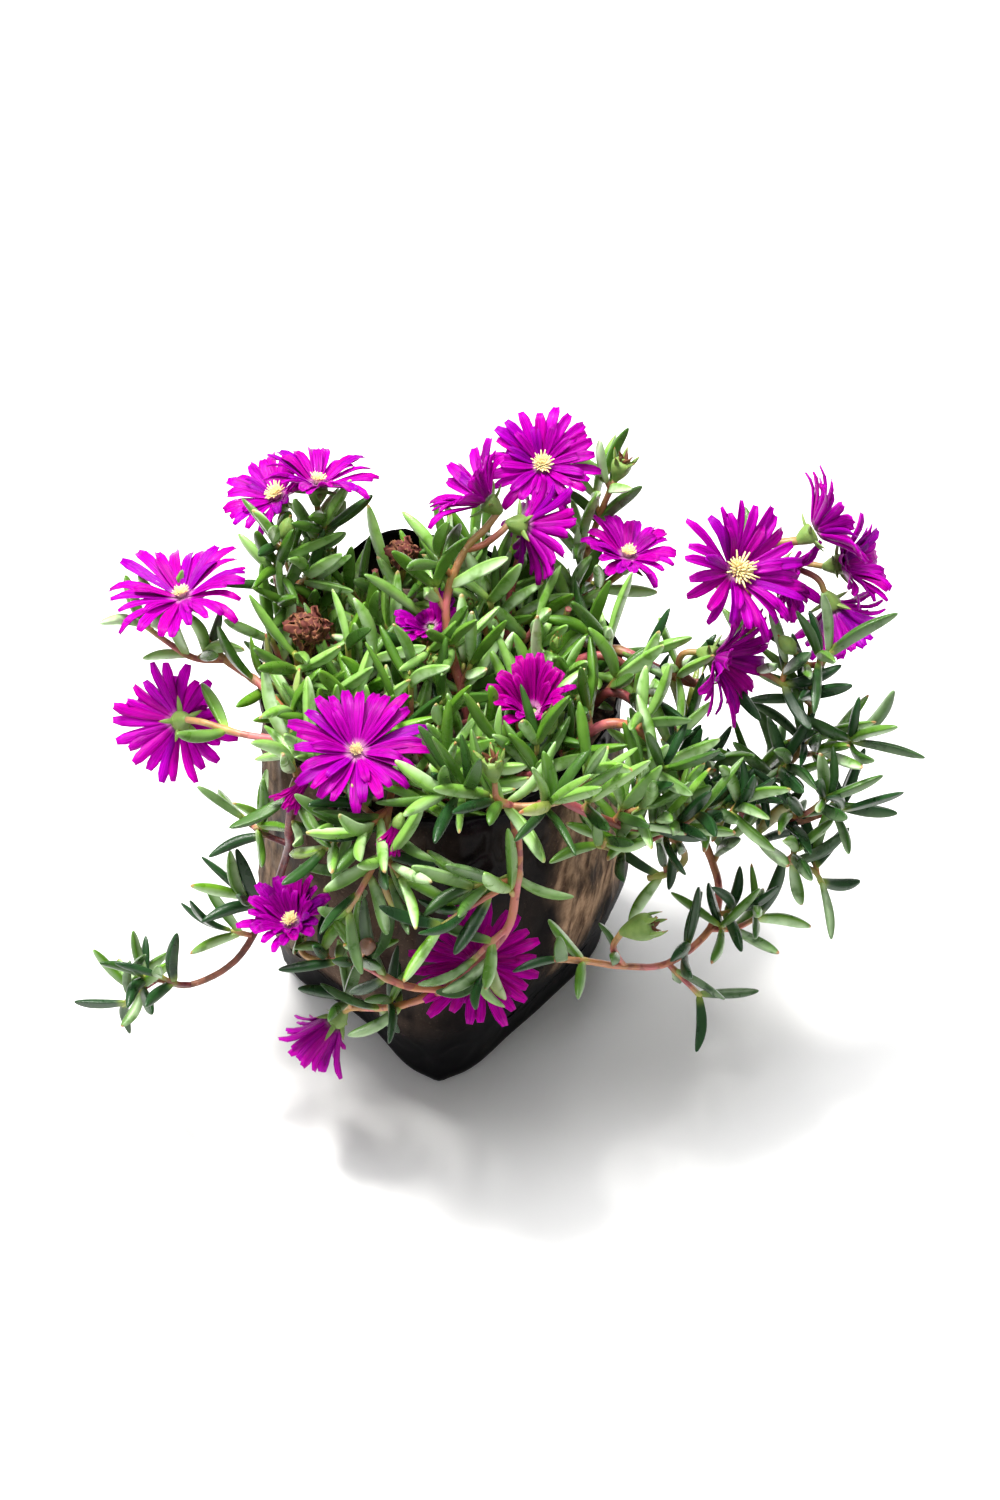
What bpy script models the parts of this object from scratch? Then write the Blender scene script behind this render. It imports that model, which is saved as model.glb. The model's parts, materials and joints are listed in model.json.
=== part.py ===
# A trailing ice plant in bloom, grown in a black film grow bag.
# Lengths are typed in millimetres and turned into metres by MM when a mesh is made.
# The bag stands on z = 0 with its middle on the origin; -Y is the front of the photo.

import math
import random

import bmesh
import bpy
import numpy as np
from mathutils import Vector

MM = 0.001
OBJECT_NAME = "potted_ice_plant"

# bag
BAG_HEIGHT = 190.0
BAG_RIM_RADIUS = 74.0
BAG_BELLY_RADIUS = 78.5
BAG_FOOT_RADIUS = 63.0
BAG_FILM = 1.0
BAG_CORNER = 0.135
BAG_CORNER_SHARP = 0.02
BAG_SIDES = 28
BAG_LEVELS = (0.0, 5.0, 36.0, 72.0, 190.0)
DRAIN_RADIUS = 2.8
DRAIN_HEIGHT = 33.0
DRAIN_TURNS = (-158.0, -121.0, -63.0, -22.0, 24.0, 62.0, 118.0, 157.0)

# soil
SOIL_TOP = 175.0
SOIL_GAP = 0.45
SOIL_SLACK = 1.3
ROOT_DEPTH = 12.7
HOLE_DEPTH = 13.0
HOLE_PLAY = 0.4

# blooms and leaves
PETAL_THICK = 0.8
PETAL_WIDTH = 4.6
DISC_RADIUS = 4.2
SEAT_GAP = 0.3
CALYX_LENGTH = 9.0
LEAF_WIDTH = 4.7
LEAF_DEPTH = 3.6
BEND_KEPT = 19.0
FREE_GAP = 0.7
OWN_SINK = 0.2
OWN_REACH = 6.5


def turned(degrees):
    return math.cos(math.radians(degrees)), math.sin(math.radians(degrees))


def eased(value):
    value = max(0.0, min(1.0, value))
    return value * value * (3.0 - 2.0 * value)


def bag_radius(turn, z):
    """Outer radius of the bag at an angle and a height."""
    if z < 72.0:
        body = BAG_FOOT_RADIUS + (BAG_BELLY_RADIUS - BAG_FOOT_RADIUS) * eased(z / 72.0)
    else:
        body = BAG_BELLY_RADIUS + (BAG_RIM_RADIUS - BAG_BELLY_RADIUS) * eased((z - 72.0) / 118.0)
    skew = turn - 0.16 - 0.19 * math.sin(turn)
    square = BAG_CORNER * math.cos(4.0 * skew) + BAG_CORNER_SHARP * math.cos(8.0 * skew)
    corner = square * (1.0 - eased(z / 110.0))
    waver = (0.011 * math.sin(3.0 * turn + 0.6) + 0.008 * math.sin(5.0 * turn + 2.0)) * z / 190.0
    return body * (1.0 + corner + waver)


# The blooms: middle of the petal disc, the way it faces, petal length, cup angle, petals.
BLOOMS = {
    "01": ((-101, 7, 228), (-0.15, 0.12, 0.98), 27, 8, 13),
    "02": ((-104, -22, 186), (-0.45, 0.50, -0.74), 22, 12, 12),
    "03": ((-66, 60, 231), (-0.30, -0.10, 0.95), 19, 14, 11),
    "04": ((-48, 49, 249), (0.10, 0.38, 0.92), 21, 14, 11),
    "05": ((-30, -64, 217), (0.05, -0.25, 0.96), 24, 12, 13),
    "06": ((-59, -81, 130), (-0.20, -0.10, 0.97), 19, 40, 12),
    "07": ((-44, -93, 76), (-0.55, -0.15, -0.82), 22, 58, 11),
    "08": ((16, -97, 125), (0.05, -0.62, 0.78), 24, 14, 12),
    "09": ((42, 65, 244), (0.05, -0.45, 0.89), 20, 14, 12),
    "10": ((19, 41, 249), (-0.72, 0.25, 0.65), 22, 36, 11),
    "11": ((35, 38, 237), (0.70, 0.25, -0.38), 21, 22, 11),
    "12": ((77, 40, 217), (0.15, 0.10, 0.98), 18, 18, 11),
    "13": ((117, 8, 241), (0.48, -0.42, 0.77), 27, 18, 13),
    "14": ((111, -12, 213), (0.80, -0.50, 0.10), 24, 26, 11),
    "15": ((151, 32, 240), (0.85, 0.35, 0.35), 23, 30, 11),
    "16": ((139, 26, 221), (0.76, -0.50, 0.12), 17, 34, 11),
    "17": ((160, 20, 208), (0.45, -0.15, -0.88), 20, 34, 11),
    "18": ((38, -30, 202), (-0.10, -0.10, 0.98), 19, 50, 11),
    "19": ((-3, 14, 203), (-0.15, -0.10, 0.97), 13, 46, 11),
    "20": ((165, 37, 216), (0.85, -0.20, 0.42), 20, 30, 11),
}
NO_STAMENS = ("02", "17", "18", "19", "20")


def calyx_foot(bloom):
    middle, facing = BLOOMS[bloom][0], Vector(BLOOMS[bloom][1]).normalized()
    return tuple(Vector(middle) - facing * (CALYX_LENGTH + SEAT_GAP - 1.6))


# The stems: a root place in the soil, then routes through hand-picked points.
# A route: points, radius at start and end, leaf pairs (first, last, count, length, turn),
# and what it carries at its tip: a bloom number, "bud", "pod" or nothing.
STEMS = {
    "stem_left_upper": {
        "root": (-40, -24),
        "routes": [
            {"at": [(-40, -25, 178), (-47, -29, 190), (-57, -29, 195), (-71, -15, 201),
                    (-85, -5, 204), (-94, 2, 210), calyx_foot("01")],
             "r": (1.8, 1.3), "pairs": (0.34, 0.62, 2, 25, 20), "tip": "01"},
            {"at": [(-85, -5, 204), (-98, -2, 202), (-110, 4, 206), (-119, 8, 212)],
             "r": (1.3, 1.0), "pairs": (0.45, 0.95, 2, 20, 60), "tip": "leaves"},
        ],
    },
    "stem_left_lower": {
        "root": (-24, -38),
        "routes": [
            {"at": [(-24, -38, 178), (-38, -46, 192), (-58, -42, 197), (-78, -36, 195),
                    (-92, -32, 197), calyx_foot("02")],
             "r": (1.7, 1.2), "pairs": (0.55, 0.80, 2, 24, 70), "tip": "02"},
        ],
    },
    "stem_left_back": {
        "root": (-46, 22),
        "routes": [
            {"at": [(-46, 22, 178), (-53, 28, 195), (-61, 38, 212), (-65, 52, 222),
                    calyx_foot("03")],
             "r": (1.8, 1.3), "pairs": (0.45, 0.70, 2, 20, 0), "tip": "03"},
            {"at": [(-53, 28, 195), (-50, 36, 212), (-48, 43, 232), calyx_foot("04")],
             "r": (1.4, 1.2), "pairs": (0.35, 0.70, 2, 20, 40), "tip": "04"},
            {"at": [(-53, 28, 195), (-62, 26, 205), (-66, 30, 218), (-62, 34, 232)],
             "r": (1.4, 1.1), "pairs": (0.45, 0.80, 2, 22, 10), "tip": "bud"},
        ],
    },
    "stem_front_left": {
        "root": (-12, -54),
        "routes": [
            {"at": [(-12, -54, 178), (-17, -60, 192), (-26, -62, 203), calyx_foot("05")],
             "r": (1.8, 1.4), "pairs": (0.35, 0.70, 2, 26, 30), "tip": "05"},
            {"at": [(-17, -60, 192), (-18, -76, 197), (-20, -89, 190), (-20, -95, 174),
                    (-16, -97, 160)],
             "r": (1.4, 1.1), "pairs": (0.35, 0.95, 4, 26, 20), "tip": "leaves"},
            {"at": [(-18, -76, 197), (-34, -84, 194), (-44, -88, 186)],
             "r": (1.2, 1.0), "pairs": (0.5, 0.95, 2, 24, 60), "tip": "leaves"},
            {"at": [(-20, -89, 190), (-28, -98, 177), (-35, -101, 163)],
             "r": (1.2, 1.0), "pairs": (0.4, 0.95, 3, 26, 15), "tip": "leaves"},
        ],
    },
    "stem_front_dark": {
        "root": (-48, -41),
        "routes": [
            {"at": [(-48, -41, 178), (-51, -52, 194), (-54, -64, 199), (-56, -72, 192),
                    (-58, -70, 174), (-60, -58, 152), (-64, -54, 132), (-72, -60, 110),
                    (-85, -74, 94), (-104, -80, 85), (-118, -78, 86), (-127, -77, 82)],
             "r": (1.9, 1.2), "pairs": (0.24, 0.24, 1, 28, 0), "tip": "leaves"},
            {"at": [(-60, -58, 152), (-71, -53, 153), (-80, -48, 158)],
             "r": (1.2, 1.0), "pairs": (0.5, 0.95, 2, 22, 30), "tip": "leaves"},
            {"at": [(-104, -80, 85), (-110, -84, 92), (-116, -86, 101)],
             "r": (1.1, 0.9), "pairs": (0.5, 0.9, 2, 18, 50), "tip": "leaves"},
            {"at": [(-118, -78, 86), (-128, -80, 78), (-134, -80, 70)],
             "r": (1.1, 0.9), "pairs": (0.4, 0.9, 2, 17, 0), "tip": "leaves"},
        ],
    },
    "stem_front": {
        "root": (3, -48),
        "routes": [
            {"at": [(3, -48, 178), (1, -60, 195), (10, -72, 206), (30, -84, 209),
                    (47, -84, 212), (60, -80, 219)],
             "r": (2.0, 1.3), "pairs": (0.42, 0.95, 3, 24, 40), "tip": "leaves"},
            {"at": [(30, -84, 209), (32, -93, 190), (31, -99, 174), (28, -104, 158),
                    (17, -108, 141), (3, -112, 127)],
             "r": (1.7, 1.5), "pairs": (0.32, 0.32, 1, 27, 10), "tip": ""},
            {"at": [(30, -84, 209), (24, -86, 216), (23, -84, 224)],
             "r": (1.2, 1.0), "pairs": (0.4, 0.4, 1, 15, 10), "tip": "bud"},
            {"at": [(3, -112, 127), (-14, -112, 131), (-32, -100, 129), (-46, -92, 119),
                    (-55, -85, 114), calyx_foot("06")],
             "r": (1.4, 1.2), "pairs": (0.30, 0.62, 2, 24, 70), "tip": "06"},
            {"at": [(-32, -100, 129), (-31, -104, 137), (-28, -106, 146)],
             "r": (1.2, 1.2), "pairs": (0.3, 0.3, 1, 14, 0), "tip": "bud"},
            {"at": [(3, -112, 127), (-8, -110, 117), (-18, -106, 107), (-28, -100, 97),
                    (-36, -95, 90), calyx_foot("07")],
             "r": (1.4, 1.2), "pairs": (0.40, 0.60, 2, 24, 20), "tip": "07"},
            {"at": [(-8, -110, 117), (-7, -101, 106), (0, -93, 101), (10, -87, 107),
                    calyx_foot("08")],
             "r": (1.3, 1.3), "pairs": (0.4, 0.4, 0, 20, 0), "tip": "08"},
            {"at": [(28, -104, 158), (21, -110, 156), (14, -112, 147)],
             "r": (1.2, 1.0), "pairs": (0.4, 0.95, 2, 21, 40), "tip": "leaves"},
        ],
    },
    "stem_right_front": {
        "root": (32, -46),
        "routes": [
            {"at": [(32, -46, 178), (38, -58, 195), (52, -70, 193), (71, -65, 174),
                    (91, -53, 153), (101, -48, 132), (97, -45, 117), (87, -44, 111)],
             "r": (1.9, 1.3), "pairs": (0.55, 0.97, 3, 22, 30), "tip": "leaves"},
            {"at": [(91, -53, 153), (81, -60, 154), (71, -65, 158), (63, -69, 166)],
             "r": (1.2, 1.0), "pairs": (0.55, 0.95, 2, 22, 10), "tip": "leaves"},
            {"at": [(71, -65, 174), (79, -58, 184), (86, -50, 192)],
             "r": (1.3, 1.0), "pairs": (0.45, 0.95, 2, 24, 40), "tip": "leaves"},
            {"at": [(91, -53, 153), (98, -56, 162), (104, -58, 172)],
             "r": (1.2, 1.0), "pairs": (0.45, 0.95, 2, 22, 80), "tip": "leaves"},
        ],
    },
    "stem_right_low": {
        "root": (54, -30),
        "routes": [
            {"at": [(54, -30, 178), (66, -33, 197), (81, -34, 194), (93, -34, 170),
                    (103, -33, 146), (111, -35, 122), (117, -44, 104), (113, -58, 94),
                    (95, -74, 92), (76, -84, 104), (61, -93, 120), (47, -103, 136)],
             "r": (1.9, 1.2), "pairs": (0.93, 0.99, 2, 18, 20), "tip": "leaves"},
            {"at": [(113, -58, 94), (124, -58, 95), (134, -54, 98)],
             "r": (1.2, 1.0), "pairs": (0.45, 0.95, 2, 24, 20), "tip": "leaves"},
            {"at": [(95, -74, 92), (103, -78, 84), (109, -80, 77)],
             "r": (1.2, 1.0), "pairs": (0.25, 0.95, 2, 24, 60), "tip": "leaves"},
            {"at": [(76, -84, 104), (71, -85, 118), (74, -85, 129)],
             "r": (1.2, 1.2), "pairs": (0.4, 0.4, 1, 13, 0), "tip": "pod"},
            {"at": [(103, -33, 146), (112, -42, 152), (120, -48, 160)],
             "r": (1.2, 1.0), "pairs": (0.45, 0.95, 2, 24, 10), "tip": "leaves"},
        ],
    },
    "stem_right": {
        "root": (61, -10),
        "routes": [
            {"at": [(61, -10, 178), (69, -14, 195), (81, -18, 190), (88, -22, 168),
                    (95, -22, 146), (110, -19, 134), (133, -16, 142), (148, -12, 153),
                    (152, -8, 172), (151, -5, 190), (154, -4, 200), (160, -1, 209)],
             "r": (1.9, 1.2), "pairs": (0.66, 0.98, 4, 25, 15), "tip": "leaves"},
            {"at": [(154, -4, 200), (147, -8, 205), (142, -8, 212)],
             "r": (1.2, 1.1), "pairs": (0.5, 0.5, 1, 16, 0), "tip": "bud"},
            {"at": [(148, -12, 153), (160, -14, 158), (170, -14, 166)],
             "r": (1.2, 1.0), "pairs": (0.45, 0.95, 2, 26, 10), "tip": "leaves"},
            {"at": [(133, -16, 142), (138, -22, 152), (140, -26, 162)],
             "r": (1.2, 1.0), "pairs": (0.45, 0.95, 2, 23, 40), "tip": "leaves"},
        ],
    },
    "stem_right_upper": {
        "root": (60, 14),
        "routes": [
            {"at": [(60, 14, 178), (71, 9, 195), (88, 1, 193), (104, -4, 189),
                    (119, -4, 197), (126, 4, 211), (122, 12, 222), calyx_foot("13")],
             "r": (1.9, 1.4), "pairs": (0.30, 0.62, 3, 24, 25), "tip": "13"},
            {"at": [(104, -4, 189), (97, -5, 199), (98, -7, 210), calyx_foot("14")],
             "r": (1.3, 1.2), "pairs": (0.4, 0.4, 1, 20, 0), "tip": "14"},
            {"at": [(126, 4, 211), (125, 18, 216), (128, 30, 219), calyx_foot("16")],
             "r": (1.4, 1.2), "pairs": (0.35, 0.35, 0, 18, 0), "tip": "16"},
            {"at": [(125, 18, 216), (121, 30, 226), (129, 30, 233), calyx_foot("15")],
             "r": (1.3, 1.7), "pairs": (0.45, 0.45, 1, 16, 0), "tip": "15"},
            {"at": [(128, 30, 219), (134, 42, 212), (146, 44, 210), calyx_foot("20")],
             "r": (1.3, 1.2), "pairs": (0.45, 0.45, 0, 16, 0), "tip": "20"},
            {"at": [(134, 42, 212), (144, 34, 217), (153, 26, 219), calyx_foot("17")],
             "r": (1.2, 1.2), "pairs": (0.45, 0.45, 0, 16, 0), "tip": "17"},
            {"at": [(119, -4, 197), (130, -8, 200), (140, -12, 196)],
             "r": (1.2, 1.0), "pairs": (0.45, 0.95, 2, 22, 60), "tip": "leaves"},
        ],
    },
    "stem_right_outer": {
        "root": (46, -3),
        "routes": [
            {"at": [(46, -3, 178), (58, 1, 198), (74, -3, 200), (88, -11, 182),
                    (101, -12, 162), (121, -26, 146), (144, -31, 133), (158, -30, 136),
                    (168, -28, 142)],
             "r": (1.9, 1.1), "pairs": (0.56, 0.98, 4, 23, 35), "tip": "leaves"},
            {"at": [(121, -26, 146), (130, -37, 131), (142, -42, 123), (155, -45, 118),
                    (160, -48, 111)],
             "r": (1.3, 1.0), "pairs": (0.40, 0.96, 3, 23, 20), "tip": "leaves"},
            {"at": [(144, -31, 133), (150, -36, 144), (156, -38, 154)],
             "r": (1.1, 1.0), "pairs": (0.5, 0.95, 2, 20, 50), "tip": "leaves"},
        ],
    },
    "stem_back": {
        "root": (12, -12),
        "routes": [
            {"at": [(12, -12, 178), (8, -5, 194), (4, 4, 209), (4, 14, 222),
                    (11, 27, 234), (19, 34, 239), calyx_foot("10")],
             "r": (1.9, 1.3), "pairs": (0.25, 0.68, 3, 24, 0), "tip": "10"},
            {"at": [(11, 27, 234), (18, 30, 234), (25, 33, 238), calyx_foot("11")],
             "r": (1.3, 1.2), "pairs": (0.4, 0.4, 0, 20, 0), "tip": "11"},
        ],
    },
    "stem_back_right": {
        "root": (47, 34),
        "routes": [
            {"at": [(47, 34, 178), (58, 40, 192), (69, 42, 199), calyx_foot("12")],
             "r": (1.8, 1.3), "pairs": (0.40, 0.75, 2, 22, 0), "tip": "12"},
            {"at": [(58, 40, 192), (62, 55, 208), (68, 62, 226), (72, 63, 238)],
             "r": (1.4, 1.1), "pairs": (0.35, 0.90, 3, 18, 30), "tip": "pod"},
        ],
    },
    "shoots_left": {
        "root": (-56, 2), "bush": (3, 15, 204, 0),
        "routes": [{"at": [(-56, 2, 178), (-54, 3, 190), (-52, 3, 201), (-52, 3, 207)], "r": (1.6, 1.3),
                    "pairs": (0.4, 0.4, 0, 18, 0), "tip": ""}],
    },
    "shoots_left_back": {
        "root": (-24, 40), "bush": (3, 15, 208, 50),
        "routes": [{"at": [(-24, 40, 178), (-19, 42, 192), (-15, 43, 205), (-15, 43, 211)], "r": (1.6, 1.3),
                    "pairs": (0.4, 0.4, 0, 18, 0), "tip": ""}],
    },
    "shoots_left_front": {"root": (-36, -4), "bush": (3, 11, 203, 100), "routes": []},
    "shoots_middle": {
        "root": (-7, 14), "bush": (3, 15, 205, 20),
        "routes": [{"at": [(-7, 14, 178), (-5, 15, 187), calyx_foot("19")], "r": (1.5, 1.2),
                    "pairs": (0.4, 0.4, 0, 18, 0), "tip": "19"}],
    },
    "shoots_front": {"root": (-11, -24), "bush": (3, 13, 206, 95), "routes": []},
    "shoots_right": {
        "root": (36, -24), "bush": (3, 13, 203, 140),
        "routes": [{"at": [(36, -24, 178), (37, -27, 186), calyx_foot("18")], "r": (1.6, 1.3),
                    "pairs": (0.5, 0.5, 1, 20, 0), "tip": "18"}],
    },
    "shoots_right_back": {
        "root": (27, 22), "bush": (3, 14, 207, 200),
        "routes": [{"at": [(27, 22, 178), (30, 40, 200), (38, 56, 222), (44, 66, 234),
                           calyx_foot("09")], "r": (1.7, 1.3),
                    "pairs": (0.35, 0.65, 2, 22, 0), "tip": "09"}],
    },
    "shoots_back": {"root": (8, 52), "bush": (3, 14, 206, 250), "routes": []},
}

# Dried heads: the tip of the bare stalk each sits on, and its size.
DRIED_HEADS = {
    "dried_head_left": ((-52, 3, 207), 7.5),
    "dried_head_back": ((-15, 43, 211), 5.6),
}


def head_middle(tip, size):
    return Vector(tip) + Vector((0.0, 0.0, SEAT_GAP + 0.8 * size))


class Room:
    """Keeps the balls that fill every placed piece, and tells if new ones are clear."""

    def __init__(self):
        self.at = []
        self.size = []
        self.owner = []

    def add(self, balls, owner):
        for at, size in balls:
            self.at.append(tuple(at))
            self.size.append(size)
            self.owner.append(owner)

    def clear(self, balls, owner, gap=FREE_GAP, base=None):
        at = np.array(self.at)
        size = np.array(self.size)
        other = np.array([name != owner for name in self.owner])
        mine = ~other
        if base is not None:
            mine &= np.sqrt(((at - np.array(tuple(base))) ** 2).sum(axis=1)) > OWN_REACH
        for place, reach in balls:
            if place[2] - reach < 2.0:
                return False
            if not beside_bag(place, reach + gap + 0.6):
                return False
            away = np.sqrt(((at - np.array(tuple(place))) ** 2).sum(axis=1))
            if (other & (away < size + reach + gap)).any():
                return False
            if base is not None and (mine & (away < size + reach - OWN_SINK)).any():
                return False
        return True


def beside_bag(place, reach):
    """True where a ball is wholly outside the bag or inside it over the soil."""
    if place[2] > BAG_HEIGHT + reach:
        return True
    off = math.hypot(place[0], place[1])
    wall = bag_radius(math.atan2(place[1], place[0]), max(0.0, place[2]))
    if off - reach > wall:
        return True
    return off + reach < wall - 2.0 and place[2] - reach > SOIL_TOP + 0.5


def smooth_route(points, steps):
    """Points along an even curve through the given ones."""
    points = [Vector(point) for point in points]
    ends = [points[0] * 2.0 - points[1]] + points + [points[-1] * 2.0 - points[-2]]
    route = []
    for index in range(1, len(ends) - 2):
        p0, p1, p2, p3 = ends[index - 1:index + 3]
        for step in range(steps):
            t = step / steps
            route.append(0.5 * (2.0 * p1 + (p2 - p0) * t
                                + (2.0 * p0 - 5.0 * p1 + 4.0 * p2 - p3) * t * t
                                + (3.0 * p1 - p0 - 3.0 * p2 + p3) * t * t * t))
    route.append(points[-1])
    return route


def thinned(line, forks):
    """The same line without the points where it hardly bends; forks stay."""
    kept = [line[0]]
    for index in range(1, len(line) - 1):
        before = (line[index] - kept[-1]).normalized()
        after = (line[index + 1] - line[index]).normalized()
        at_fork = any((line[index] - fork).length < 0.1 for fork in forks)
        if at_fork or before.dot(after) < math.cos(math.radians(BEND_KEPT)):
            kept.append(line[index])
    kept.append(line[-1])
    return kept


def route_at(route, part):
    """Place and direction at a part of the whole length."""
    lengths = [0.0]
    for first, second in zip(route, route[1:]):
        lengths.append(lengths[-1] + (second - first).length)
    want = part * lengths[-1]
    for index in range(1, len(route)):
        if want <= lengths[index] or index == len(route) - 1:
            span = max(1e-6, lengths[index] - lengths[index - 1])
            t = (want - lengths[index - 1]) / span
            way = (route[index] - route[index - 1]).normalized()
            return route[index - 1].lerp(route[index], t), way
    return route[-1], (route[-1] - route[-2]).normalized()


def across(way):
    """Two directions square to a way, the first as level as it can be."""
    up = Vector((0, 0, 1)) if abs(way.z) < 0.95 else Vector((1, 0, 0))
    side = way.cross(up).normalized()
    return side, side.cross(way).normalized()


def leaf_line(base, way, turn, length, spread, rise):
    """A leaf's middle line: it leaves its stem at a slant and bends up to the light."""
    side, over = across(way)
    cos, sin = turned(turn)
    out = side * cos + over * sin
    lean, stand = turned(spread)
    start = (out * lean + way * stand).normalized()
    bend = (way * 0.35 + Vector((0, 0, 1)) * 0.65).normalized() * rise
    steps = (0.0, 0.2, 0.34, 0.47, 0.6, 0.73, 0.86, 1.0)
    return [base + (start * s + bend * s * s) * length for s in steps], out


def leaf_balls(line):
    return list(zip(line[1:], (1.7, 2.2, 2.4, 2.4, 2.1, 1.5, 0.8)))


def place_leaf(room, owner, base, way, turn, length, rise, spread):
    """Finds the way a leaf can grow clear of its neighbours, or gives nothing."""
    for size in (1.0, 0.8, 0.62):
        for swing in (0, 22, -22, 45, -45):
            for lift in (0, 18, -18):
                line, out = leaf_line(base, way, turn + swing, length * size,
                                      spread + lift, rise)
                if room.clear(leaf_balls(line), owner, FREE_GAP, base):
                    room.add(leaf_balls(line), owner)
                    return {"line": line, "out": out, "size": size}
    return None


def bloom_frame(bloom):
    middle, facing = BLOOMS[bloom][0], Vector(BLOOMS[bloom][1]).normalized()
    side, over = across(facing)
    return Vector(middle), side, over, facing


def petal_points(bloom, turn, length, cup):
    """The foot, widest place and tip of one petal."""
    middle, side, over, facing = bloom_frame(bloom)
    cos, sin = turned(turn)
    out = side * cos + over * sin
    rise_cos, rise_sin = turned(cup + 4.0)
    tip_cos, tip_sin = turned(cup - 16.0)
    foot = middle + out * DISC_RADIUS
    wide = foot + (out * rise_cos + facing * rise_sin) * length * 0.66
    tip = wide + (out * tip_cos + facing * tip_sin) * length * 0.34
    return foot, wide, tip


def cup_balls(bloom):
    """Balls that keep the disc of a bloom and the five lobes under it free of others."""
    middle, side, over, facing = bloom_frame(bloom)
    balls = [(middle, DISC_RADIUS)]
    for lobe in range(5):
        cos, sin = turned(72.0 * lobe)
        balls.append((middle - facing * 1.2 + (side * cos + over * sin) * 6.3, 1.4))
    return balls


def place_petals(room, bloom):
    """Lengths and slants of a bloom's petals, cut back where they would meet another."""
    length, cup, count = BLOOMS[bloom][2:]
    draw = random.Random(700 + int(bloom))
    petals = []
    for index in range(count):
        turn = 360.0 * (index + 0.5) / count + draw.uniform(-2.0, 2.0)
        tier = 8.0 if index % 2 else -3.0
        slant = cup + tier + draw.uniform(-4.0, 4.0)
        reach = length * draw.uniform(0.86, 1.06)
        chosen = None
        for size in (1.0, 0.85, 0.7, 0.55, 0.4):
            for lift in (0, 10, -10, 20, -20, 32):
                foot, wide, tip = petal_points(bloom, turn, reach * size, slant + lift)
                balls = [(foot.lerp(wide, 0.46), 1.6), (foot.lerp(wide, 0.74), 2.0), (wide, 2.3),
                         (wide.lerp(tip, 0.5), 1.8), (tip, 1.1)]
                if room.clear(balls, "petals_" + bloom, 1.0):
                    chosen = (turn, reach * size, slant + lift, balls)
                    break
            if chosen:
                break
        if not chosen:
            foot, wide, tip = petal_points(bloom, turn, reach * 0.3, slant)
            chosen = (turn, reach * 0.3, slant, [(wide, 1.5), (tip, 1.0)])
        room.add(chosen[3], "petals_" + bloom)
        petals.append(chosen[:3])
    return petals


def bush_routes(root, bush, seed, room, name):
    """Short leafy shoots that fan out from one root, each turned clear of its neighbours."""
    count, reach, top, first = bush
    draw = random.Random(seed)
    routes = []
    lead = (0.0, 0.0)
    for index in range(count):
        heading = first + index * 137.5 + draw.uniform(-12, 12)
        out = reach * (0.45 if index == 0 else draw.uniform(0.75, 1.15))
        height = top + draw.uniform(-5, 5) - (0 if index == 0 else 4)
        part = index * 0.27
        for swing in (0, 18, -18, 36, -36, 54, -54, 75, -75, 100, -100, 130, -130, 180):
            cos, sin = turned(heading + swing)
            start = (root[0] + lead[0] * part, root[1] + lead[1] * part, 178 + 12 * part)
            bend = (0.4, 190) if index == 0 else (0.62, 187 + 9 * part)
            middle = (root[0] + cos * out * bend[0], root[1] + sin * out * bend[0], bend[1])
            end = (root[0] + cos * out, root[1] + sin * out, height)
            balls = [(spot, 1.4) for spot in smooth_route([start, middle, end], 6)[3:]]
            if room.clear(balls, name, 0.6):
                break
        if index == 0:
            lead = (cos * out * 0.4, sin * out * 0.4)
        routes.append({"at": [start, middle, end], "r": (1.4, 1.0),
                       "pairs": (0.45, 0.97, 2, draw.uniform(20, 26), draw.uniform(0, 90)),
                       "tip": "leaves"})
    return routes


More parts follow.
